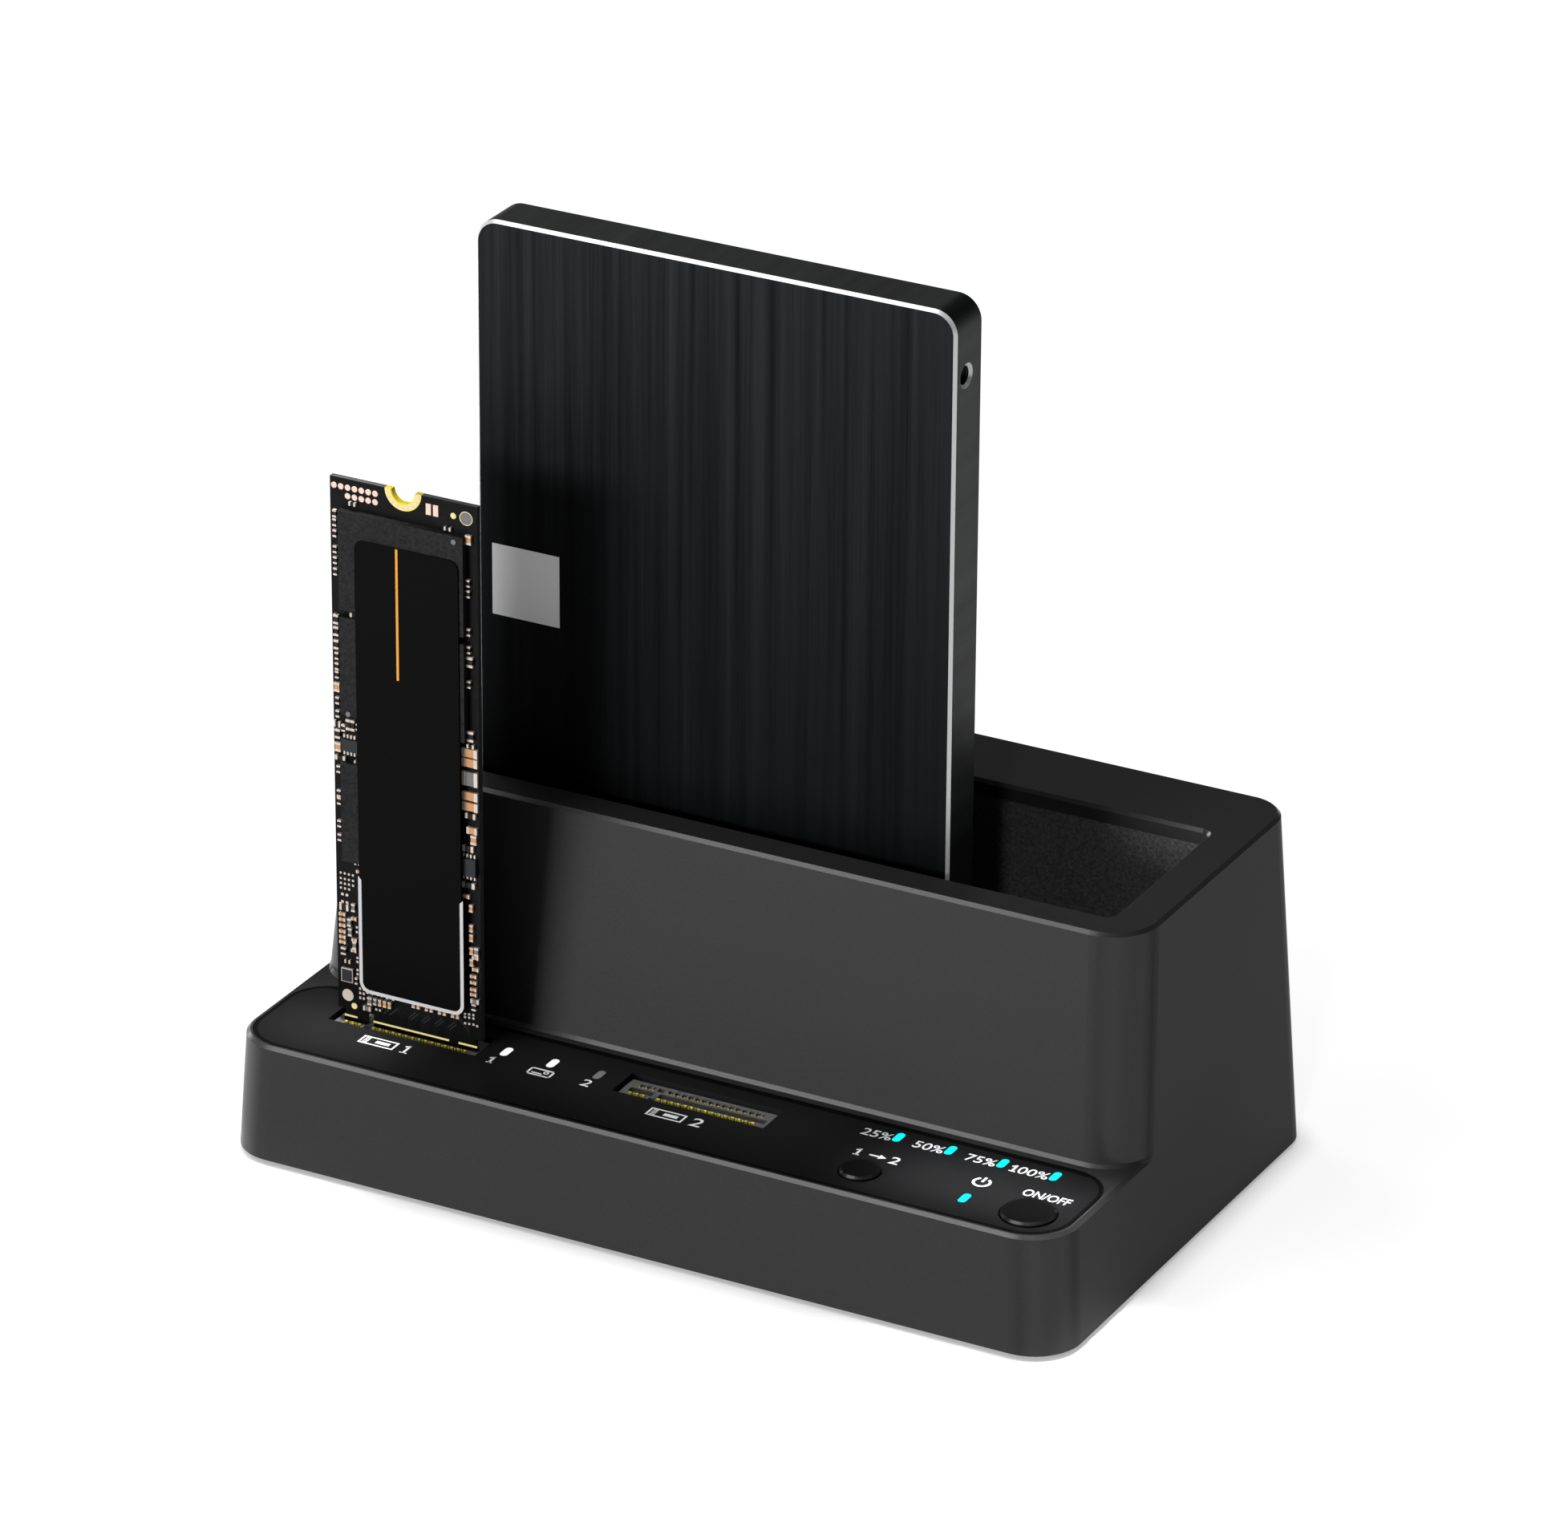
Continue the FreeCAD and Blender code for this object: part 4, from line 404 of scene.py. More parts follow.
# %% Finish of each ready made piece
DRESS = (
    (housing_black, ["upper_housing"]),
    (cover_black, ["bottom_cover"]),
    (foot_rubber, ["rubber_feet"]),
    (bay_painted_light, ["bay_tray"]),
    (panel_black, ["deck_panel"]),
    (button_black, ["clone_button", "power_button"]),
    (lit_white, ["lit_status_guides"]),
    (unlit_grey, ["idle_status_guide"]),
    (lit_cyan, ["progress_guides", "power_guide"]),
    (frame_black, [
        "status_guide_frame", "progress_guide_frame", "power_guide_frame",
        "clone_switch_plunger", "power_switch_plunger",
    ]),
    (board_green, ["main_board", "riser_board"]),
    (drive_green, ["drive_board"]),
    (card_black, ["card_board"]),
    (socket_grey, ["card_socket_1", "card_socket_2"]),
    (contact_gold, [
        "card_contacts_1", "card_contacts_2", "sata_contacts", "card_ring", "card_fingers",
    ]),
    (chip_black, [
        "sata_socket", "link_header", "link_receptacle", "bridge_chip", "inductors",
        "drive_plug", "drive_chips", "card_chips",
    ]),
    (part_dark, ["clone_switch_body", "power_switch_body", "power_inlet", "data_port_tongue"]),
    (part_tan, ["card_passives"]),
    (spreader, ["heat_spreader"]),
    (can_metal, ["capacitors"]),
    (lamp_resin, ["indicator_leds"]),
    (port_steel, ["power_inlet_pin", "data_port"]),
    (screw_steel, ["housing_screws", "board_screws", "tray_screws", "riser_screws"]),
    (drive_side, ["drive_case"]),
    (drive_front, ["drive_lid"]),
    (sticker_grey, ["drive_sticker"]),
    (label_black, ["card_label"]),
)
dressed = set()
for material, names in DRESS:
    dressed.update(names)
    for name in names:
        nodes[name].data.materials.clear()
        nodes[name].data.materials.append(material)
print("pieces without a finish:", sorted(set(nodes) - dressed))

# %% [markdown]
# Helpers for new pieces
#
# A new piece starts as an empty bmesh in millimetres. `block` adds the shape that electronics are
# full of, and `finish_piece` shrinks the mesh to metres, shades it and lets it ride on the part of
# the dock that carries it. The other helpers come with the pieces that need them first.

# %% Mesh helpers
SHARP_FROM = radians(32)


def block(bm, low, high):
    """Adds a box between two corners and returns its vertices."""
    made = bmesh.ops.create_cube(bm, size=1.0)["verts"]
    low, high = Vector(low), Vector(high)
    bmesh.ops.scale(bm, vec=high - low, verts=made)
    bmesh.ops.translate(bm, vec=(low + high) / 2, verts=made)
    return made


def mesh_object(name, bm, materials):
    """An object of a bmesh, which is freed."""
    mesh = bpy.data.meshes.new(name)
    bm.to_mesh(mesh)
    bm.free()
    for material in materials:
        mesh.materials.append(material)
    thing = bpy.data.objects.new(name, mesh)
    scene.collection.objects.link(thing)
    return thing


def finish_piece(name, bm, body, slot, *materials, replaced=()):
    """Makes an object of a bmesh in millimetres and lets it ride on a body."""
    bmesh.ops.scale(bm, vec=(MM, MM, MM), verts=bm.verts)
    thing = mesh_object(name, bm, materials)
    thing.data.shade_smooth()
    thing.data.set_sharp_from_angle(angle=SHARP_FROM)
    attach(thing, body)
    if replaced:
        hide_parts(*replaced)
    print(name, "has", len(thing.data.polygons), "faces")


print("edges are sharp from", round(degrees(SHARP_FROM)), "degrees")

# %% [markdown]
# The drive's case
#
# The real case is a shallow aluminium tub: brushed up its front and round its rim, with the front
# edge cut bright. It could be bevelled from the ready made case, but that mesh is many thin
# triangles. Here it grows from one square: its corners are rounded, it is pulled back to its depth,
# and the front edge is broken by a bevel whose new faces take the bright metal.

# %% Case with a bright front edge
DRIVE_CORNER = 3.3
EDGE_BREAK = 0.42
CORNER_STEPS = 12


def rectangle(west, east, low, high):
    """The four corners of an upright or level rectangle, as pairs."""
    return (west, low), (east, low), (east, high), (west, high)


def rounded_plate(bm, corners, radius, steps, rounded=4):
    """Adds a flat face between four corners, rounds the first few and returns the face."""
    verts = [bm.verts.new(corner) for corner in corners]
    bm.faces.new(verts)
    bmesh.ops.bevel(
        bm, geom=verts[:rounded], offset=radius, affect="VERTICES", segments=steps, profile=0.5,
        material=-1,
    )
    return max(bm.faces, key=lambda face: face.calc_area())


shell = bmesh.new()
outline = rectangle(drive_low.x, drive_high.x, drive_low.z, drive_high.z)
rounded_plate(shell, [(x, drive_high.y, z) for x, z in outline], DRIVE_CORNER, CORNER_STEPS)
pulled = bmesh.ops.extrude_face_region(shell, geom=list(shell.faces))["geom"]
front_verts = [item for item in pulled if isinstance(item, bmesh.types.BMVert)]
bmesh.ops.translate(shell, vec=(0, drive_low.y - drive_high.y, 0), verts=front_verts)
bmesh.ops.recalc_face_normals(shell, faces=shell.faces)
front_edges = [
    edge for edge in shell.edges
    if all(abs(vertex.co.y - drive_low.y) < 0.001 for vertex in edge.verts)
]
broken = bmesh.ops.bevel(
    shell, geom=front_edges, offset=EDGE_BREAK, affect="EDGES", segments=1, profile=0.5,
    material=-1, clamp_overlap=True,
)
for face in broken["faces"]:
    face.material_index = 1
for face in shell.faces:
    if face.normal.y < -0.99:
        face.material_index = 2
print("the plain case has", len(shell.faces), "faces")

# %% [markdown]
# Holes in the case
#
# Each side of the case has two tapped holes with a bright countersink, and the plug shows through
# an opening in its foot. Holes through a rounded shell are cut with a boolean. The tool for a
# tapped hole is turned: its half outline, with the thread as a zigzag, is spun round once.

# %% Turned shapes
TURN_STEPS = 32
SAME_PLACE = 0.0005


def turn_about_x(bm, profile, centre):
    """Spins a half outline of (along, radius) pairs once round X and returns the faces."""
    verts = [bm.verts.new(centre + Vector((step, 0, radius))) for step, radius in profile]
    edges = [bm.edges.new(pair) for pair in zip(verts, verts[1:])]
    before = set(bm.faces)
    bmesh.ops.spin(
        bm, geom=verts + edges, cent=centre, axis=(1, 0, 0), angle=2 * pi, steps=TURN_STEPS,
        use_merge=True,
    )
    made_verts = {vertex for face in set(bm.faces) - before for vertex in face.verts}
    bmesh.ops.remove_doubles(bm, verts=list(made_verts), dist=SAME_PLACE)
    made = [face for face in bm.faces if face not in before]
    bmesh.ops.recalc_face_normals(bm, faces=made)
    return made


print("a turned shape has", TURN_STEPS, "sides")

# %% Holes
HOLE_LEVELS = (14.0, 90.6)
HOLE_FROM_FRONT = 3.0
HOLE_RADIUS = 1.25
THREAD_RADIUS = 1.4
THREAD_PITCH = 0.45
THREAD_TURNS = 4
SINK_RADIUS = 1.75
SINK_DEPTH = 0.35
HOLE_DEPTH = 2.6
CLEAR = 0.1
CUT_PAST = 1.0

hole_profile = [(-CLEAR, 0.0), (-CLEAR, SINK_RADIUS + CLEAR), (SINK_DEPTH, HOLE_RADIUS)]
for number in range(THREAD_TURNS):
    step = SINK_DEPTH + THREAD_PITCH * number
    hole_profile += [(step + THREAD_PITCH * 0.5, THREAD_RADIUS), (step + THREAD_PITCH, HOLE_RADIUS)]
hole_profile += [(HOLE_DEPTH, HOLE_RADIUS), (HOLE_DEPTH, 0.0)]

tools = bmesh.new()
for side, inward in ((drive_low.x, 1), (drive_high.x, -1)):
    profile = [(inward * step, radius) for step, radius in hole_profile]
    for level in HOLE_LEVELS:
        centre = Vector((side, drive_low.y + HOLE_FROM_FRONT, drive_low.z + level))
        for face in turn_about_x(tools, profile, centre):
            depth_in = abs(face.calc_center_median().x - side)
            face.material_index = 1 if depth_in < SINK_DEPTH else 0
plug_low, plug_high = low_high("drive_plug")
lid_low, lid_high = low_high("drive_lid")
block(tools, (plug_low.x, plug_low.y, drive_low.z - CUT_PAST), plug_high)
block(tools, lid_low, (lid_high.x, drive_high.y + CUT_PAST, lid_high.z))
print("hole tools:", len(tools.faces), "faces")

# %% Cut and keep the case
def cut_away(base, cutter):
    """Takes one throwaway object out of another and returns the rest as a bmesh."""
    boolean = base.modifiers.new("cut", "BOOLEAN")
    boolean.operation = "DIFFERENCE"
    boolean.object = cutter
    boolean.solver = "EXACT"
    boolean.material_mode = "INDEX"
    bpy.context.view_layer.update()
    ready = base.evaluated_get(bpy.context.evaluated_depsgraph_get())
    bm = bmesh.new()
    bm.from_mesh(ready.data)
    for thing in (base, cutter):
        bpy.data.objects.remove(thing)
    return bm


CASE_FINISHES = (drive_side, bright_edge, drive_front)
case = cut_away(mesh_object("case", shell, CASE_FINISHES), mesh_object("tools", tools, CASE_FINISHES))
finish_piece("drive_shell", case, "drive", "drive_metal", *CASE_FINISHES, replaced=["drive_case"])

# %% [markdown]
# The card sockets
#
# A card socket is a block of nylon with a keyed slot for the card's tab and a row of cells on each
# side of it. A sprung contact stands in each cell, with a rounded top. The front row stands a
# little proud, and that is what a glance over the deck's edge shows of it.

# %% Socket blocks
PITCH = 0.5
SHORT_RUN = 5
LONG_RUN = 29
KEY_WIDTH = 1.2
TAB_MARGIN = 0.875
SLOT_HALF = 0.55
ROW = 1.45
CELL_HALF = 0.475
CELL_DEEP = 1.6
SLOT_DEEP = 1.9
RIB_HALF = 0.15
CONTACT_HALF = 0.15
SLOT_TO_KEY = 0.4
NOTCH_HALF = 0.5
NOTCH_DEEP = 0.7


def socket_plan(number):
    """Where a socket is: its corners, its contacts' two runs and the middle of its key."""
    low, high = low_high(f"card_socket_{number}")
    first = low_high(f"card_contacts_{number}")[0].x + CONTACT_HALF
    key = first + PITCH * SHORT_RUN + KEY_WIDTH / 2
    long_first = key + KEY_WIDTH / 2 + PITCH
    return low, high, ((first, SHORT_RUN), (long_first, LONG_RUN)), key


def socket_block(number):
    """One socket with its slot, its cells and the notches beside its key."""
    low, high, runs, key = socket_plan(number)
    middle = (low.y + high.y) / 2
    body = bmesh.new()
    block(body, low, high)
    tools = bmesh.new()
    over = high.z + CUT_PAST
    slot_low = high.z - SLOT_DEEP
    for west, east in ((low.x + TAB_MARGIN, key - SLOT_TO_KEY), (key + SLOT_TO_KEY, high.x - TAB_MARGIN)):
        block(tools, (west, middle - SLOT_HALF, slot_low), (east, middle + SLOT_HALF, over))
    for side in (-1, 1):
        near = middle + ROW * side - CELL_HALF
        far = middle + ROW * side + CELL_HALF
        block(tools, (key - NOTCH_HALF, near, high.z - NOTCH_DEEP), (key + NOTCH_HALF, far, over))
        for first, count in runs:
            for place in range(0, count, 2):
                west = first + PITCH * place - PITCH / 2 + RIB_HALF
                east = first + PITCH * min(place + 1, count - 1) + PITCH / 2 - RIB_HALF
                block(tools, (west, near, high.z - CELL_DEEP), (east, far, over))
    name = f"card_socket_block_{number}"
    solid = cut_away(mesh_object(name, body, [socket_grey]), mesh_object("cells", tools, [socket_grey]))
    finish_piece(name, solid, "dock", "socket_plastic", socket_grey, replaced=[f"card_socket_{number}"])


for number in (1, 2):
    socket_block(number)

# %% Sprung contacts
LEAF_HALF = 0.06
LEAF_SIDES = 14
FRONT_RISE = 0.4
SLIM_DROP = 0.1
BACK_RISE = 0.02
FRONT_LEAN = 0.05
BACK_LEAN = 0.15
WIDE_LEAF = (0.16, 0.38)
SLIM_LEAF = (0.13, 0.16)
BACK_LEAF = (0.09, 0.2)


def disc(bm, centre, radius, thickness, axis, sides):
    """Adds a short rod about a centre, along X or Y, and returns its vertices."""
    turn = {"X": Matrix.Rotation(pi / 2, 3, "Y"), "Y": Matrix.Rotation(pi / 2, 3, "X")}
    made = bmesh.ops.create_cone(
        bm, cap_ends=True, segments=sides, radius1=radius, radius2=radius, depth=thickness,
    )["verts"]
    bmesh.ops.rotate(bm, matrix=turn[axis], verts=made)
    bmesh.ops.translate(bm, vec=Vector(centre), verts=made)
    return made


def sprung_contact(bm, x, y, low, top, radius, thick):
    """An upright leaf in a cell, whose rounded top has a radius and a width."""
    block(bm, (x - thick / 2, y - LEAF_HALF, low), (x + thick / 2, y + LEAF_HALF, top - radius))
    disc(bm, (x, y, top - radius), radius, thick, "X", LEAF_SIDES)


def socket_springs(number):
    """Both rows of one socket."""
    low, high, runs, _ = socket_plan(number)
    middle = (low.y + high.y) / 2
    springs = bmesh.new()
    floor_level = high.z - CELL_DEEP
    for first, count in runs:
        for place in range(count):
            x = first + PITCH * place
            slim = place % 2
            leaf = SLIM_LEAF if slim else WIDE_LEAF
            front_top = high.z + FRONT_RISE - SLIM_DROP * slim
            sprung_contact(springs, x, middle - ROW + FRONT_LEAN, floor_level, front_top, *leaf)
            back_y = middle + ROW - CELL_HALF + BACK_LEAN
            sprung_contact(springs, x, back_y, floor_level, high.z + BACK_RISE, *BACK_LEAF)
    name = f"card_springs_{number}"
    replaced = [f"card_contacts_{number}"]
    finish_piece(name, springs, "dock", "contact_gold", spring_gold, replaced=replaced)


for number in (1, 2):
    socket_springs(number)

# %% [markdown]
# Marks on the deck
#
# The deck carries a few printed marks: numbers beside the lights, a power sign and a word at the
# buttons. Text becomes a mesh as soon as it is made and is fitted to its place by its own box. All
# marks are one film of ink that stands a few hundredths above the panel.

# %% Printed marks
INK = 0.03
BOLD = 0.008
WIDEN = 1.12
marks = bmesh.new()
ink_level = deck_high.z + INK


def print_text(words, left, middle_y, height, right=None):
    """Prints words on the deck from a left edge, with capitals of one height."""
    curve = bpy.data.curves.new("words", "FONT")
    curve.body = words
    curve.offset = BOLD
    holder = bpy.data.objects.new("words", curve)
    scene.collection.objects.link(holder)
    bpy.context.view_layer.update()
    mesh = bpy.data.meshes.new_from_object(holder)
    bpy.data.objects.remove(holder)
    xs = [vertex.co.x for vertex in mesh.vertices]
    ys = [vertex.co.y for vertex in mesh.vertices]
    tall = height / (max(ys) - min(ys))
    wide = tall * WIDEN if right is None else (right - left) / (max(xs) - min(xs))
    mesh.transform(Matrix.Translation((-min(xs), -(min(ys) + max(ys)) / 2, 0)))
    mesh.transform(Matrix.Diagonal((wide, tall, 1, 1)))
    mesh.transform(Matrix.Translation((left, middle_y, ink_level)))
    marks.from_mesh(mesh)
    bpy.data.meshes.remove(mesh)


def print_bar(x, y, width, height):
    """Prints a plain bar by its middle."""
    made = bmesh.ops.create_grid(marks, x_segments=1, y_segments=1, size=0.5)["verts"]
    bmesh.ops.scale(marks, vec=(width, height, 1), verts=made)
    bmesh.ops.translate(marks, vec=(x, y, ink_level), verts=made)
    return made


def print_arc(x, y, radius, width, start, sweep, steps=24):
    """Prints part of a ring: a short bar across the line, spun round its middle."""
    ends = [
        marks.verts.new((x + reach * cos(start), y + reach * sin(start), ink_level))
        for reach in (radius - width / 2, radius + width / 2)
    ]
    bmesh.ops.spin(
        marks, geom=[*ends, marks.edges.new(ends)], cent=(x, y, 0), axis=(0, 0, 1),
        angle=sweep, steps=steps, use_merge=False,
    )


print("ink stands", INK, "mm above the deck")

# %% [markdown]
# Which marks go where
#
# The lights of the progress row carry the share that is copied. The card slots are told apart by a
# number beside a small card, and the button that copies by an arrow from 1 to 2.

# %% Numbers and words
DIGIT = 1.9
SLOT_DIGIT = 2.3
STROKE = 0.36
FOOT = 0.26
FOOT_SHARE = 0.48
FLAG = (0.75, 0.3)
GUIDE_WIDTH = 1.08
PERCENT_LENGTH = 4.3
PERCENT_DROP = 0.6
BESIDE_GUIDE = 0.12
BEFORE_ZEROS = 1.05


def print_one(left, y, height):
    """A 1 with a flag and a foot."""
    middle = left + height * FOOT_SHARE / 2
    print_bar(middle, y, STROKE, height)
    print_bar(middle, y - height / 2 + FOOT / 2, height * FOOT_SHARE, FOOT)
    flag = print_bar(0, 0, *FLAG)
    bmesh.ops.rotate(marks, matrix=Matrix.Rotation(radians(35), 3, "Z"), verts=flag)
    bmesh.ops.translate(marks, vec=(middle - 0.22, y + height / 2 - 0.32, 0), verts=flag)


progress_low, progress_high = low_high("progress_guides")
percent_y = (progress_low.y + progress_high.y) / 2 - PERCENT_DROP
pitch = (progress_high.x - progress_low.x - GUIDE_WIDTH) / 3
for number, share in enumerate(("25", "50", "75", "00")):
    right = progress_low.x + pitch * number - BESIDE_GUIDE
    print_text(f"{share}%", right - PERCENT_LENGTH, percent_y, DIGIT, right)
print_one(right - PERCENT_LENGTH - BEFORE_ZEROS, percent_y, DIGIT)
print_one(left=-27.6, y=-26.35, height=DIGIT)
print_text("2", left=-13.6, middle_y=-26.2, height=DIGIT)
print_one(left=26.9, y=-26.3, height=DIGIT)
print_text("2", left=32.0, middle_y=-26.3, height=DIGIT)
print_text("ON/OFF", left=51.0, middle_y=-25.9, height=DIGIT - 0.1, right=57.7)
print("ink faces so far:", len(marks.faces))

# %% Signs
def print_card_sign(left, y):
    """A small card seen flat, with its contacts at one end."""
    for edge in (0.95, -0.95):
        print_bar(left + 3.2, y + edge, 5.0, 0.28)
    for end in (0.72, 5.75):
        print_bar(left + end, y, 0.28, 2.18)
    for tooth in range(4):
        print_bar(left + 1.45, y - 0.6 + 0.4 * tooth, 0.75, 0.2)
    print_bar(left + 3.9, y, 2.1, 0.75)


def print_drive_sign(x, y):
    """A small drive seen flat: a frame with a bar for its plug."""
    for edge in (0.85, -0.85):
        print_bar(x, y + edge, 3.6, 0.3)
    for side in (-1.65, 1.65):
        print_bar(x + side, y, 0.3, 2.0)
    print_bar(x - 0.4, y - 0.35, 1.5, 0.3)
    print_arc(x + 0.75, y + 0.2, 0.3, 0.2, 0.0, 2 * pi, 12)


def print_arrow(x, y):
    """An arrow from one number to the other."""
    print_bar(x - 0.3, y, 1.5, STROKE)
    head = bmesh.ops.create_circle(marks, cap_ends=True, segments=3, radius=0.72)["verts"]
    bmesh.ops.rotate(marks, matrix=Matrix.Rotation(-pi / 2, 3, "Z"), verts=head)
    bmesh.ops.translate(marks, vec=(x + 0.7, y, ink_level), verts=head)


def face_up(bm):
    """Turns every face of flat print so that it faces up."""
    bmesh.ops.recalc_face_normals(bm, faces=bm.faces)
    for face in bm.faces:
        if face.normal.z < 0:
            face.normal_flip()


SIGN_Y = -29.2
SIGN_TO_DIGIT = 7.0
FIRST_SIGN = -46.0
SECOND_SIGN = -2.6
print_card_sign(FIRST_SIGN, SIGN_Y)
print_one(FIRST_SIGN + SIGN_TO_DIGIT, SIGN_Y, SLOT_DIGIT)
print_card_sign(SECOND_SIGN, SIGN_Y)
print_text("2", SECOND_SIGN + SIGN_TO_DIGIT, SIGN_Y, SLOT_DIGIT)
print_drive_sign(-19.7, -26.5)
print_arrow(30.0, -26.3)

power_low, power_high = low_high("power_guide")
power_x = (power_low.x + power_high.x) / 2
POWER_SIGN_Y = -26.2
POWER_GAP = radians(62)
print_arc(power_x, POWER_SIGN_Y, 1.1, STROKE, pi / 2 + POWER_GAP / 2, 2 * pi - POWER_GAP)
print_bar(power_x, POWER_SIGN_Y + 0.75, STROKE, 1.35)
face_up(marks)
finish_piece("deck_print", marks, "dock", "lit_white", white_ink)

# %% [markdown]
# The gap round the panel
#
# The real panel is a separate moulding, so a thin black line shows between it and the shell, and
# a wider one at its back, where the tower rises; that wider band is partly painted shadow at the
# tower's foot. The line is a flat rim: a plate of the panel's outline is inset, its back edge is
# pulled in, and the middle is taken out.

# %% Dark line round the panel
GAP_LIFT = 0.01
GAP_CORNER = 6.0
GAP_STEPS = 10
GAP_WIDTH = 0.42
BACK_GAP_AND_SHADOW = 0.95
BACK_BAND = 0.3


def inset(bm, face, width):
    """Parts a rim of one width from a face, and returns the rim's faces."""
    return bmesh.ops.inset_region(
        bm, faces=[face], thickness=width, use_even_offset=True, use_boundary=True,
    )["faces"]


gap = bmesh.new()
outline = rectangle(deck_low.x, deck_high.x, deck_low.y, deck_high.y)
corners = [(x, y, deck_high.z + GAP_LIFT) for x, y in outline]
panel_face = rounded_plate(gap, corners, GAP_CORNER, GAP_STEPS)
inset(gap, panel_face, GAP_WIDTH)
# The back edge is pulled in further, so that the black band there is partly painted shadow.
for vertex in panel_face.verts:
    if vertex.co.y > deck_high.y - GAP_WIDTH - BACK_BAND:
        vertex.co.y -= BACK_GAP_AND_SHADOW - GAP_WIDTH
bmesh.ops.delete(gap, geom=[panel_face], context="FACES_ONLY")
face_up(gap)
finish_piece("panel_gap", gap, "dock", "panel_plastic", gap_black)

# %% [markdown]
# The flash card's small parts
#
# The card is a bare board, crowded with capacitors and resistors the size of a grain of salt. Each
# is a ceramic body with a tinned cap at both ends. One function makes such a part from a few boxes,
# and short lists say how high above the desk the parts sit in each column, as on the real board.

# %% Small parts with two ends
card_x = (card_low.x + card_high.x) / 2
card_face = card_low.y
PART_HEIGHT = 0.42
CAP_SHARE = 0.21
CAP_RIM = 0.03
parts = bmesh.new()
DARK, TAN, GREY, TIN, SLATE = range(5)


def paint(verts, finish_index):
    """Gives the faces of some vertices one of the piece's finishes."""
    for face in {face for vertex in verts for face in vertex.link_faces}:
        face.material_index = finish_index


def two_ended(x, z, wide, tall, body):
    """A part with a tinned cap at each end of its longer side, x counted from the card's middle."""
    x += card_x
    front = card_face - PART_HEIGHT
    low = (x - wide / 2, front + CAP_RIM, z - tall / 2)
    high = (x + wide / 2, card_face, z + tall / 2)
    paint(block(parts, low, high), body)
    upright = tall >= wide
    length = tall if upright else wide
    half = length * CAP_SHARE / 2 + CAP_RIM
    half_x, half_z = (wide / 2 + CAP_RIM, half) if upright else (half, tall / 2 + CAP_RIM)
    for side in (-1, 1):
        shift = side * (length / 2 - length * CAP_SHARE / 2)
        cap_x, cap_z = (x, z + shift) if upright else (x + shift, z)
        low = (cap_x - half_x, front, cap_z - half_z)
        high = (cap_x + half_x, card_face, cap_z + half_z)
        paint(block(parts, low, high), TIN)


def chip_body(x, z, wide, tall, height, body):
    """A flat moulded body."""
    low = (card_x + x - wide / 2, card_face - height, z - tall / 2)
    high = (card_x + x + wide / 2, card_face, z + tall / 2)
    paint(block(parts, low, high), body)


def pad(x, z, wide, tall, height=0.06):
    """A bare solder pad or pin."""
    chip_body(x, z, wide, tall, height, TIN)


print("the card's middle is at x", round(card_x, 2), "and its face at y", round(card_face, 3))

# %% Columns down the card's edges
def column(x, size, body, *levels):
    """The same part at several heights above the desk."""
    for z in levels:
        two_ended(x, z, *size, body)


TINY = (0.5, 1.0)
TALL = (0.7, 1.3)
SMALL = (0.8, 1.25)
LARGE = (0.9, 1.4)
BIG = (2.3, 1.15)
FLAT = (0.9, 0.42)
SHORT = (0.75, 0.42)
column(-10.2, TINY, DARK, 89.9, 88.65, 87.1, 84.85, 83.3, 81.7, 69.7, 68.2, 67.0, 63.3, 61.4)
column(-10.2, TINY, DARK, 53.4, 49.9, 48.8, 45.5, 43.5)
column(-10.25, TALL, DARK, 74.9, 73.2, 71.3, 58.5)
column(-10.25, SMALL, TAN, 65.2, 56.6)
column(9.7, TINY, DARK, 84.2, 82.7, 77.3, 74.8, 69.9)
column(9.7, TINY, TAN, 37.7, 34.8, 33.4, 31.5, 29.8)
column(9.85, LARGE, DARK, 73.1, 62.5)
column(9.7, BIG, TAN, 60.1, 58.7, 53.9, 52.4)
column(9.95, FLAT, TAN, 27.8, 26.9, 25.9, 25.15)
column(10.3, (0.9, 0.45), TAN, 30.6, 28.9)
column(-10.0, FLAT, TAN, 32.3, 31.5, 30.65, 29.75, 28.95, 28.2)
column(-8.2, SHORT, TAN, 32.0, 28.9)
print("faces so far:", len(parts.faces))

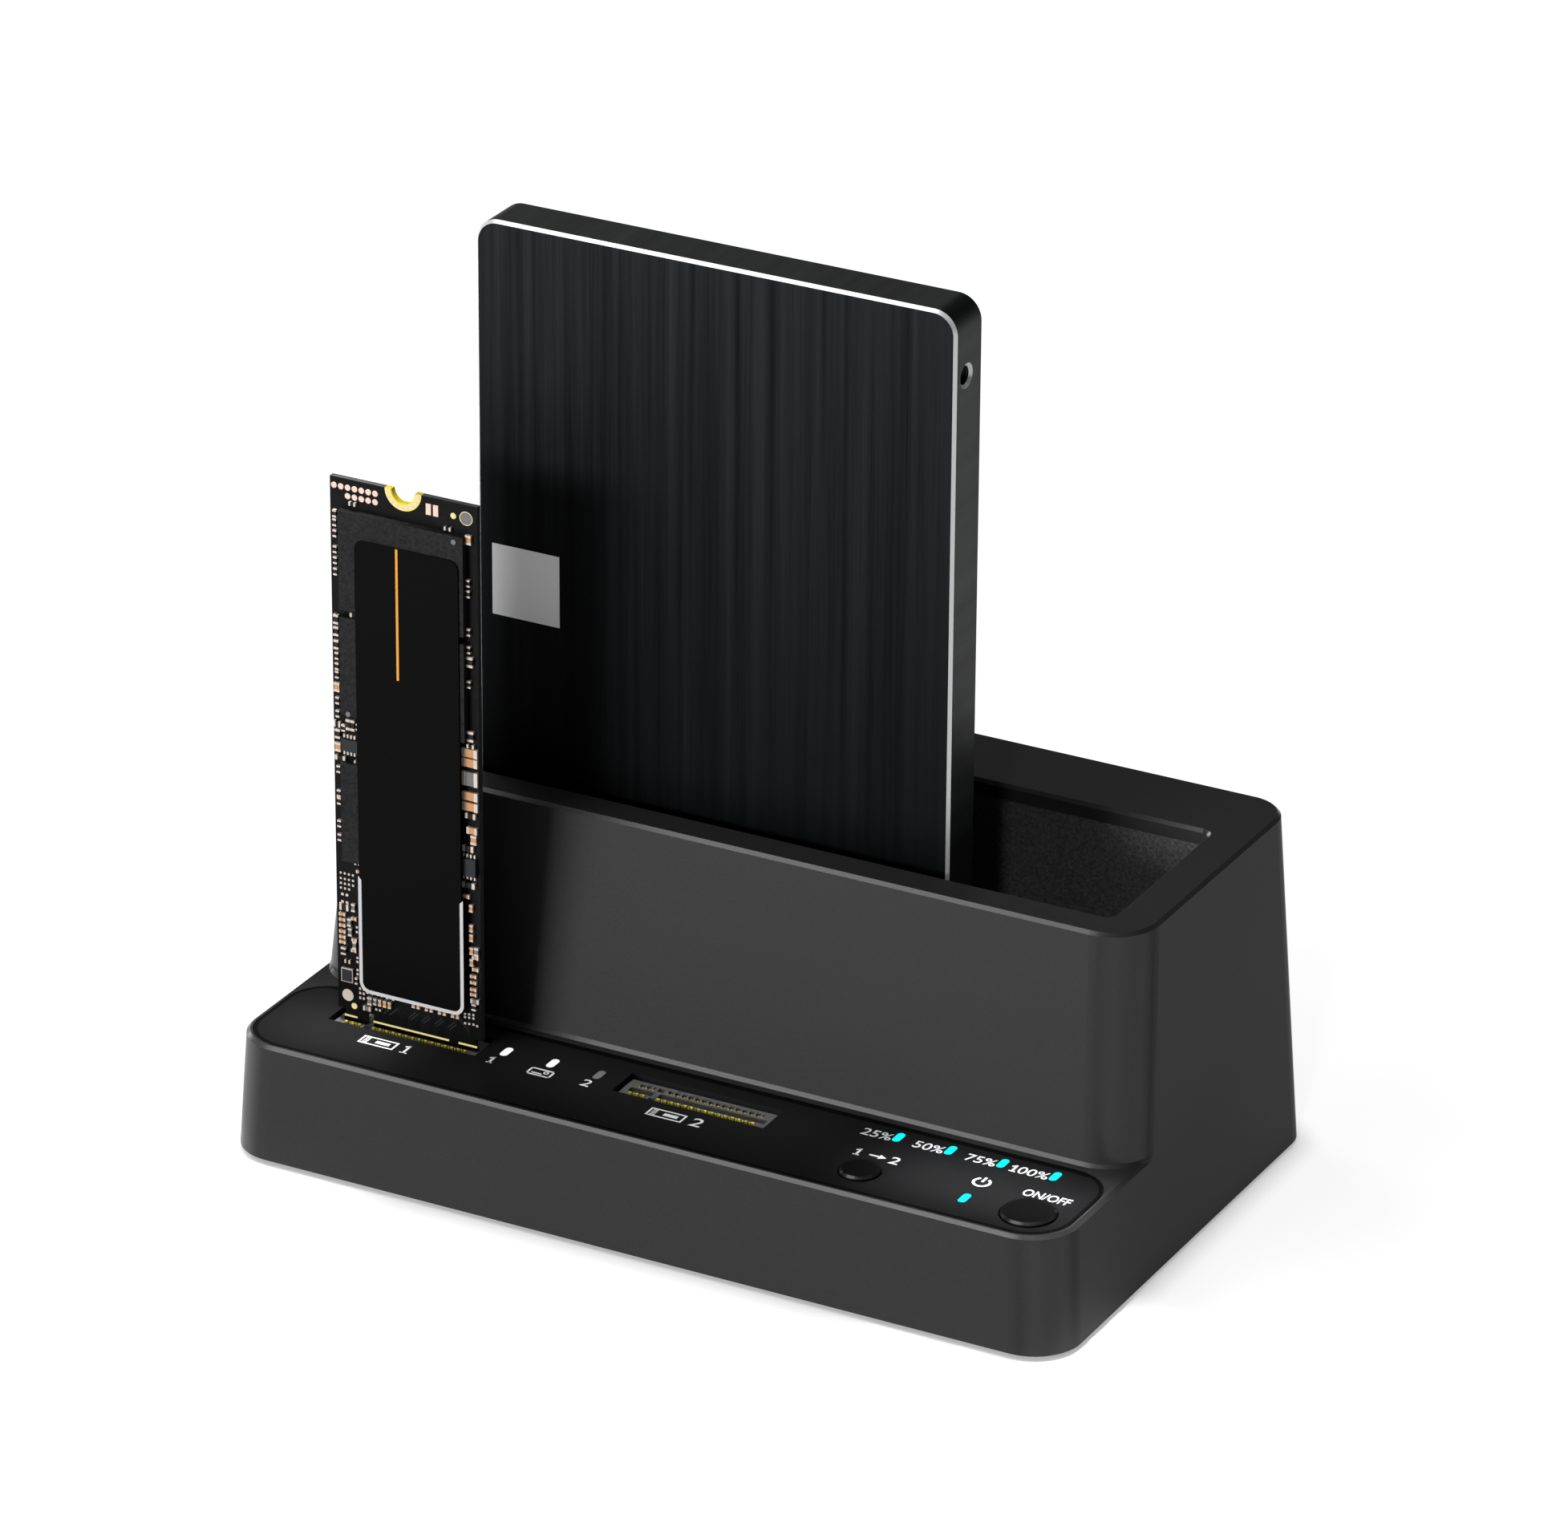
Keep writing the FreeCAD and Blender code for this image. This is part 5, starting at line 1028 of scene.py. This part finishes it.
# %% Single parts, each by its place, its width and height, and its body
for part in (
    (9.8, 90.3, *SMALL, TAN), (10.2, 47.7, *SMALL, TAN), (9.95, 49.0, 1.5, 0.9, TAN),
    (9.0, 39.3, 0.95, 0.5, TAN), (-8.3, 27.3, *SHORT, TAN), (-7.3, 39.1, 0.8, 0.42, TAN),
    (-4.4, 21.75, *SHORT, TAN), (-10.3, 59.9, 0.9, 0.8, DARK), (-9.9, 55.1, 1.5, 0.6, DARK),
    (9.85, 61.1, 1.0, 0.5, DARK), (9.75, 51.1, 1.5, 0.7, DARK), (9.35, 46.3, 1.6, 0.8, DARK),
    (9.35, 41.0, 1.9, 0.75, DARK), (10.0, 23.3, 0.6, 0.9, DARK), (-7.5, 91.75, 0.95, 0.45, DARK),
    (6.75, 91.25, 0.95, 0.45, DARK), (-7.4, 75.9, 1.3, 0.75, DARK), (-8.65, 60.15, 0.55, 1.5, DARK),
    (-7.95, 60.15, 0.55, 1.5, DARK), (-9.35, 59.5, 0.5, 0.9, DARK), (-7.2, 60.1, 0.4, 0.9, DARK),
    (-7.3, 54.95, 0.9, 0.45, DARK), (-9.7, 33.4, 1.3, 0.9, DARK), (-9.9, 26.9, 0.7, 1.0, DARK),
    (-9.3, 25.5, 0.8, 0.45, DARK), (-8.0, 22.9, 0.35, 0.9, DARK), (9.7, 56.4, 2.3, 1.95, GREY),
    (10.45, 31.5, 0.6, 1.15, GREY), (10.15, 24.2, 1.2, 0.6, GREY), (-8.95, 31.3, 0.5, 1.1, GREY),
    (-8.3, 33.6, 0.5, 1.1, GREY), (-8.85, 29.9, 0.5, 1.1, GREY), (-8.2, 28.1, 0.5, 1.1, GREY),
    (-5.9, 21.75, 1.0, 0.5, GREY), (-2.8, 21.7, 1.2, 0.6, GREY), (-6.0, 20.4, 0.6, 1.1, GREY),
    (-6.4, 19.2, 1.1, 0.6, GREY),
):
    two_ended(*part)

PAIR_PITCH = 2.0
PAIR_GAP = 0.74
UPRIGHT = (0.42, 0.85)
for number in range(4):
    for side in (0, 1):
        two_ended(0.76 + PAIR_PITCH * number + PAIR_GAP * side, 21.5, *UPRIGHT, TAN)
    two_ended(-5.15 + PAIR_GAP * number, 20.5, 0.42, 0.9, TAN if number else GREY)
print("faces so far:", len(parts.faces))

# %% Small square pads
def pads_at(xs, levels, wide=0.3, tall=0.3):
    """Pads where a few columns and a few levels cross."""
    for x in xs:
        for z in levels:
            pad(x, z, wide, tall)


PAD_STEP = 0.62
for count, z in ((4, 38.2), (4, 37.4), (4, 36.7), (3, 36.0)):
    pads_at([-10.3 + PAD_STEP * number for number in range(count)], [z])
pads_at((-10.1, -9.4), (35.1, 34.0), wide=0.4, tall=0.35)
pads_at((-7.95,), (30.7, 30.0, 26.2, 25.6, 24.4, 23.8))
pads_at((-8.05, -7.43, -6.9), (40.0,), wide=0.32, tall=0.32)
pads_at((-5.15, -4.6), (19.25,))
pads_at((-7.6, -7.05), (21.75, 21.1, 20.4), tall=0.35)
for x, rise in ((8.47, 0.0), (9.1, 0.05), (9.75, 0.1)):
    pads_at((x,), (21.9 + rise, 21.4 + rise, 20.5 + rise))
pads_at((10.3,), (20.5,))
print("faces so far:", len(parts.faces))

# %% Small chips with rows of pins
PIN_LENGTH = 0.5
PIN_HEIGHT = 0.3


def pin_rows(x, z, wide, tall, pins, pin, levels):
    """A small chip with a row of pins above and below it."""
    chip_body(x, z, wide, tall, 0.6, SLATE)
    step = wide / pins
    for level in levels:
        for number in range(pins):
            pad(x - wide / 2 + step * (number + 0.5), level, pin, PIN_LENGTH, PIN_HEIGHT)


pin_rows(-8.25, 57.2, 2.6, 1.7, 5, 0.26, (58.4, 55.98))
pin_rows(9.45, 43.65, 2.2, 2.5, 4, 0.24, (45.25, 42.1))
chip_body(-9.45, 23.4, 1.75, 2.0, 0.3, TIN)
chip_body(-9.45, 23.4, 1.45, 1.7, 0.42, SLATE)
finish_piece(
    "card_small_parts", parts, "card", "card_part",
    part_dark, part_tan, part_grey, part_end, part_slate,
    replaced=["card_passives"],
)

# %% [markdown]
# Bare pads, and the card's ring
#
# The top of the board has rows of round test pads, two copper pads and a gold dot. The half ring
# for the holding screw is stitched with small tinned holes. A pale line runs over the contact
# fingers, whose tops lie under strips of the black mask. All are thin shapes on the board's face.

# %% Pads on the board
pads = bmesh.new()
COPPER, PALE, WHITE, DULL, TRACK, MASK = range(6)
PAD_THICKNESS = 0.05


def round_pad(x, z, radius, finish_index, lift=0.0, sides=18):
    """A thin disc on the card's face."""
    y = card_face - PAD_THICKNESS / 2 - lift
    paint(disc(pads, (card_x + x, y, z), radius, PAD_THICKNESS, "Y", sides), finish_index)


def slab(west, east, low, high, thickness, finish_index):
    """A thin box on the card's face, its sides counted from the card's middle."""
    front = (card_x + west, card_face - thickness, low)
    paint(block(pads, front, (card_x + east, card_face, high)), finish_index)


TEST_PAD = 0.42
TEST_PITCH = 1.03
COPPER_Z = 93.25
COPPER_HALVES = (0.38, 0.78)
for first, count, z in ((-10.38, 7, 93.77), (-8.33, 5, 92.59)):
    for number in range(count):
        round_pad(first + TEST_PITCH * number, z, TEST_PAD, COPPER)
half_x, half_z = COPPER_HALVES
for x in (3.76, 4.84):
    slab(x - half_x, x + half_x, COPPER_Z - half_z, COPPER_Z + half_z, PAD_THICKNESS, COPPER)
round_pad(7.46, 93.1, 0.42, PALE)
round_pad(9.36, 93.1, 0.98, PALE)
round_pad(9.36, 93.1, 0.88, DULL, 0.01)
round_pad(-9.5, 20.35, 0.86, WHITE, sides=28)
round_pad(-8.53, 18.95, 0.44, PALE)
chip_face = low_high("card_chips")[0].y
for x, z in ((8.0, 89.9), (-8.2, 62.0)):
    round_pad(x, z, 0.36, DULL, card_face - chip_face)

FINGER_TOP = low_high("card_fingers")[1].z
LINE_HEIGHT = 0.26
LINE_THICKNESS = 0.07
MASK_HEIGHT = 1.0
MASK_THICKNESS = 0.06
for west, east in ((-10.05, -8.07), (-5.6, 6.0), (7.45, 10.27)):
    slab(west, east, FINGER_TOP, FINGER_TOP + LINE_HEIGHT, LINE_THICKNESS, PALE)
for west, east in ((-10.1, -6.75), (-5.45, 10.3)):
    slab(west, east, FINGER_TOP - MASK_HEIGHT, FINGER_TOP, MASK_THICKNESS, MASK)
print("pads so far:", len(pads.faces), "faces")

# %% The ring round the card's notch
RING_INNER = 1.9
RING_OUTER = 2.7
RING_VIAS = 9
RING_VIA = 0.15
RING_STEPS = 28
RING_LIFT = 0.02

ring_low, ring_high = low_high("card_ring")
ring_x = (ring_low.x + ring_high.x) / 2
ring_y = ring_low.y - RING_LIFT
ring_middle = (RING_INNER + RING_OUTER) / 2
ends = [
    pads.verts.new((ring_x + reach, ring_y, card_high.z)) for reach in (RING_INNER, RING_OUTER)
]
bmesh.ops.spin(
    pads, geom=[*ends, pads.edges.new(ends)], cent=(ring_x, ring_y, card_high.z), axis=(0, 1, 0),
    angle=pi, steps=RING_STEPS, use_merge=False,
)
ring_faces = {face for face in pads.faces if abs(face.calc_center_median().y - ring_y) < 0.001}
for face in ring_faces:
    face.material_index = PALE
    face.normal_update()
    if face.normal.y > 0:
        face.normal_flip()
for number in range(RING_VIAS):
    angle = pi + pi * (number + 0.5) / RING_VIAS
    x = ring_x - card_x + ring_middle * cos(angle)
    z = card_high.z + ring_middle * sin(angle)
    round_pad(x, z, RING_VIA, WHITE, 0.05, 10)
print("the ring has", len(ring_faces), "faces and", RING_VIAS, "vias")

# %% Tracks that show at the card's foot
TRACK_WIDTH = 0.13
TRACK_RISE = 0.015


def track(*points):
    """A thin raised line through a few points (x, z), x counted from the card's middle."""
    for (x1, z1), (x2, z2) in zip(points, points[1:]):
        length = Vector((x2 - x1, z2 - z1)).length
        made = bmesh.ops.create_cube(pads, size=1.0)["verts"]
        bmesh.ops.scale(pads, vec=(TRACK_WIDTH, TRACK_RISE * 2, length + TRACK_WIDTH / 2), verts=made)
        turn = Vector((0, 0, 1)).rotation_difference(Vector((x2 - x1, 0, z2 - z1))).to_matrix()
        bmesh.ops.rotate(pads, matrix=turn, verts=made)
        middle = (card_x + (x1 + x2) / 2, card_face, (z1 + z2) / 2)
        bmesh.ops.translate(pads, vec=middle, verts=made)
        paint(made, TRACK)


for pair in range(4):
    for side in (0.0, 0.28):
        x = 0.9 + 2.0 * pair + side
        track((x, 20.9), (x, 20.3 - side), (x - 1.1, 19.2 - side), (x - 1.1, 17.7))
for number in range(3):
    x = -4.9 + 0.9 * number
    track((x + 1.3, 20.2), (x, 18.9), (x, 17.7))
track((9.2, 20.2), (9.2, 17.7))
track((7.6, 20.9), (9.0, 19.4), (9.0, 17.7))
for x in (-9.6, -8.9):
    track((x, 18.3), (x, 17.7))
EDGE_TRACK = 10.82
for high, low in ((92.6, 88.0), (58.0, 44.0), (40.0, 22.0)):
    track((EDGE_TRACK, high), (EDGE_TRACK, low))
finish_piece(
    "card_pads", pads, "card", "contact_gold",
    copper_pad, pale_gold, part_end, part_grey, track_grey, gap_black,
)

# %% [markdown]
# Print on the card's label
#
# The label is a black film with a silver line round its foot and a thin orange stripe near its top.
# The line is cut from one flat plate whose lower corners are rounded. It is inset, so that the
# line keeps one width round the corners, and its middle and its top are taken out.

# %% Label lines
label_low, label_high = low_high("card_label")
FILM = 0.02
STRIPE_LEFT = card_x - 0.62
STRIPE_WIDTH = 0.36
STRIPE_LENGTH = 18.6
LINE_TOP = 39.0
LINE_CORNER = 1.6
LINE_STEPS = 8
LINE_WIDTH = 0.5
LEFT_OUT, RIGHT_OUT, BELOW = 0.15, 0.3, 0.55

lines = bmesh.new()
film_face = label_low.y - FILM
stripe_top = label_high.z - 0.1
stripe_low = (STRIPE_LEFT, film_face, stripe_top - STRIPE_LENGTH)
block(lines, stripe_low, (STRIPE_LEFT + STRIPE_WIDTH, label_low.y, stripe_top))
for face in lines.faces:
    face.material_index = 1

outline = rectangle(label_low.x - LEFT_OUT, label_high.x + RIGHT_OUT, label_low.z - BELOW, LINE_TOP)
corners = [(x, film_face, z) for x, z in outline]
plate_face = rounded_plate(lines, corners, LINE_CORNER, LINE_STEPS, rounded=2)
rim = inset(lines, plate_face, LINE_WIDTH)
bmesh.ops.delete(lines, geom=[plate_face], context="FACES_ONLY")
top_faces = [face for face in rim if face.calc_center_median().z > LINE_TOP - LINE_WIDTH - 0.1]
bmesh.ops.delete(lines, geom=top_faces, context="FACES")
finish_piece("card_label_lines", lines, "card", "card_label", label_silver, label_orange)

# %% [markdown]
# Camera
#
# The dock was seen from a little to its right and above, through a long lens. The camera is placed
# by those angles about a point on the tower, and turned by the small tilt of the horizon.

# %% Camera
CAMERA_AIM = Vector((0.6, 2.8, 54.83)) * MM
CAMERA_DISTANCE = 1.146
AZIMUTH = radians(28.005)
ELEVATION = radians(24.858)
ROLL = radians(0.397)
LENS = 200.66
SENSOR_WIDTH = 36.0

back = Vector((sin(AZIMUTH) * cos(ELEVATION), -cos(AZIMUTH) * cos(ELEVATION), sin(ELEVATION)))
lens = bpy.data.cameras.new("camera")
lens.lens = LENS
lens.sensor_width = SENSOR_WIDTH
lens.clip_start = 0.05
lens.clip_end = 50.0
camera = bpy.data.objects.new("camera", lens)
camera.rotation_mode = "QUATERNION"
camera.rotation_quaternion = (-back).to_track_quat("-Z", "Y") @ Quaternion((0, 0, 1), ROLL)
camera.location = CAMERA_AIM + back * CAMERA_DISTANCE
scene.collection.objects.link(camera)
scene.camera = camera
print("camera at", [round(value, 4) for value in camera.location])

# %% [markdown]
# Floor and light
#
# Black plastic shows what it reflects, so the boxes of light are large and soft. The floor glows
# white for the lens and a little dimmer in reflections, and its grey base keeps the soft shadow.
# The glow fades close to the dock as a painted contact shadow, so that the dock stands on the floor
# and doesn't float. The sky is almost dark, so that the tops of the pieces stay dark as well.

# %% Floor
FLOOR_SIZE = 6.0
PAPER_GLOW = 0.86
GLOSSY_SHARE = 0.75
CONTACT_REACH = 4.0
CONTACT_SHADE = 0.6

floor_bm = bmesh.new()
bmesh.ops.create_grid(floor_bm, x_segments=1, y_segments=1, size=FLOOR_SIZE)
paper = Finish(
    "white_paper", Base_Color=(0.5, 0.5, 0.5, 1), Roughness=0.9, Specular_IOR_Level=0.0,
    Emission_Strength=PAPER_GLOW,
)
seen = paper.add("ShaderNodeLightPath", output="Is Camera Ray")
seen = seen + paper.add("ShaderNodeLightPath", output="Is Transmission Ray")
seen = seen + paper.add("ShaderNodeLightPath", output="Is Glossy Ray") * GLOSSY_SHARE
reach = {"Distance": CONTACT_REACH * MM}
# Painted contact shadow: the floor's glow is dimmed by occlusion close to the dock.
open_share = paper.add("ShaderNodeAmbientOcclusion", {"samples": 8}, reach, output="AO").ramp(0.2, 1.0)
glow = seen * (open_share * CONTACT_SHADE + (1 - CONTACT_SHADE))
paper.feed("Emission Color", paper.tint(glow, (0, 0, 0, 1), (1, 1, 1, 1)))
mesh_object("floor", floor_bm, [paper.material])
print("floor is ready")

# %% [markdown]
# Lamps
#
# One wide box lights the front and one over the left shoulder draws the bright edges. Three dim
# boxes stand behind. Narrow strips hang straight above the deck: the panel mirrors them as soft
# sheens, and a beam that hardly spreads leaves the rest of the dock alone. A spot reaches the bay.

# %% Lamps and sky
def hang_lamp(name, light, place, aim):
    """Puts a lamp at a place and turns it to a point."""
    lamp = bpy.data.objects.new(name, light)
    lamp.location = place
    lamp.rotation_mode = "QUATERNION"
    lamp.rotation_quaternion = (Vector(aim) - Vector(place)).to_track_quat("-Z", "Y")
    scene.collection.objects.link(lamp)


def box_light(name, size, power):
    """The light of a box with a width and a height."""
    light = bpy.data.lights.new(name, "AREA")
    light.shape = "RECTANGLE"
    light.size, light.size_y = size
    light.energy = power
    return light


def soft_lamp(name, place, aim, size, power):
    """A soft box that faces a point."""
    hang_lamp(name, box_light(name, size, power), place, aim)


STRIP_SPREAD = radians(4)
STRIP_HEIGHT = 0.35


def strip_lamp(name, x, y, size, power):
    """A small box straight above a place, whose beam hardly spreads."""
    light = box_light(name, size, power)
    light.spread = STRIP_SPREAD
    hang_lamp(name, light, (x, y, STRIP_HEIGHT), (x, y, 0))


DOCK = (0, 0, 0.04)
soft_lamp("front_left_box", (-0.95, -1.6, 0.3), (0, 0, 0.05), size=(0.9, 0.4), power=31.0)
soft_lamp("edge_box", (-0.46, -0.58, 1.02), DOCK, size=(0.8, 0.45), power=4.2)
soft_lamp("back_left_box", (-1.3, 0.62, 0.55), DOCK, size=(0.7, 0.7), power=6.0)
soft_lamp("back_sheen_box", (-0.6, 1.14, 0.65), DOCK, size=(0.6, 0.6), power=0.4)
soft_lamp("back_right_box", (1.1, 0.9, 0.4), DOCK, size=(0.7, 0.7), power=0.6)
strip_lamp("right_strip", 0.05, -0.028, size=(0.034, 0.009), power=0.0044)
strip_lamp("middle_strip", -0.002, -0.025, size=(0.05, 0.004), power=0.0008)
strip_lamp("left_strip", -0.051, -0.029, size=(0.02, 0.01), power=0.0022)

BAY_BEAM = radians(6.5)
BAY_LAMP_RADIUS = 0.06
BAY_POWER = 14.0
bay_light = bpy.data.lights.new("bay_pool", "SPOT")
bay_light.spot_size = BAY_BEAM
bay_light.spot_blend = 1.0
bay_light.shadow_soft_size = BAY_LAMP_RADIUS
bay_light.energy = BAY_POWER
hang_lamp("bay_pool", bay_light, (0.25, -0.75, 0.7), (0.045, 0.01, 0.045))

SKY_TONE = (0.05, 0.05, 0.05, 1)
sky = bpy.data.worlds.new("sky")
sky.use_nodes = True
sky.node_tree.nodes["Background"].inputs["Color"].default_value = SKY_TONE
sky.node_tree.nodes["Background"].inputs["Strength"].default_value = 1.0
scene.world = sky
scene.view_settings.view_transform = "Standard"
print("lamps:", len(bpy.data.lights))

# %% [markdown]
# Closing update
#
# The view layer is brought up to date once more.

# %% Last update
bpy.context.view_layer.update()
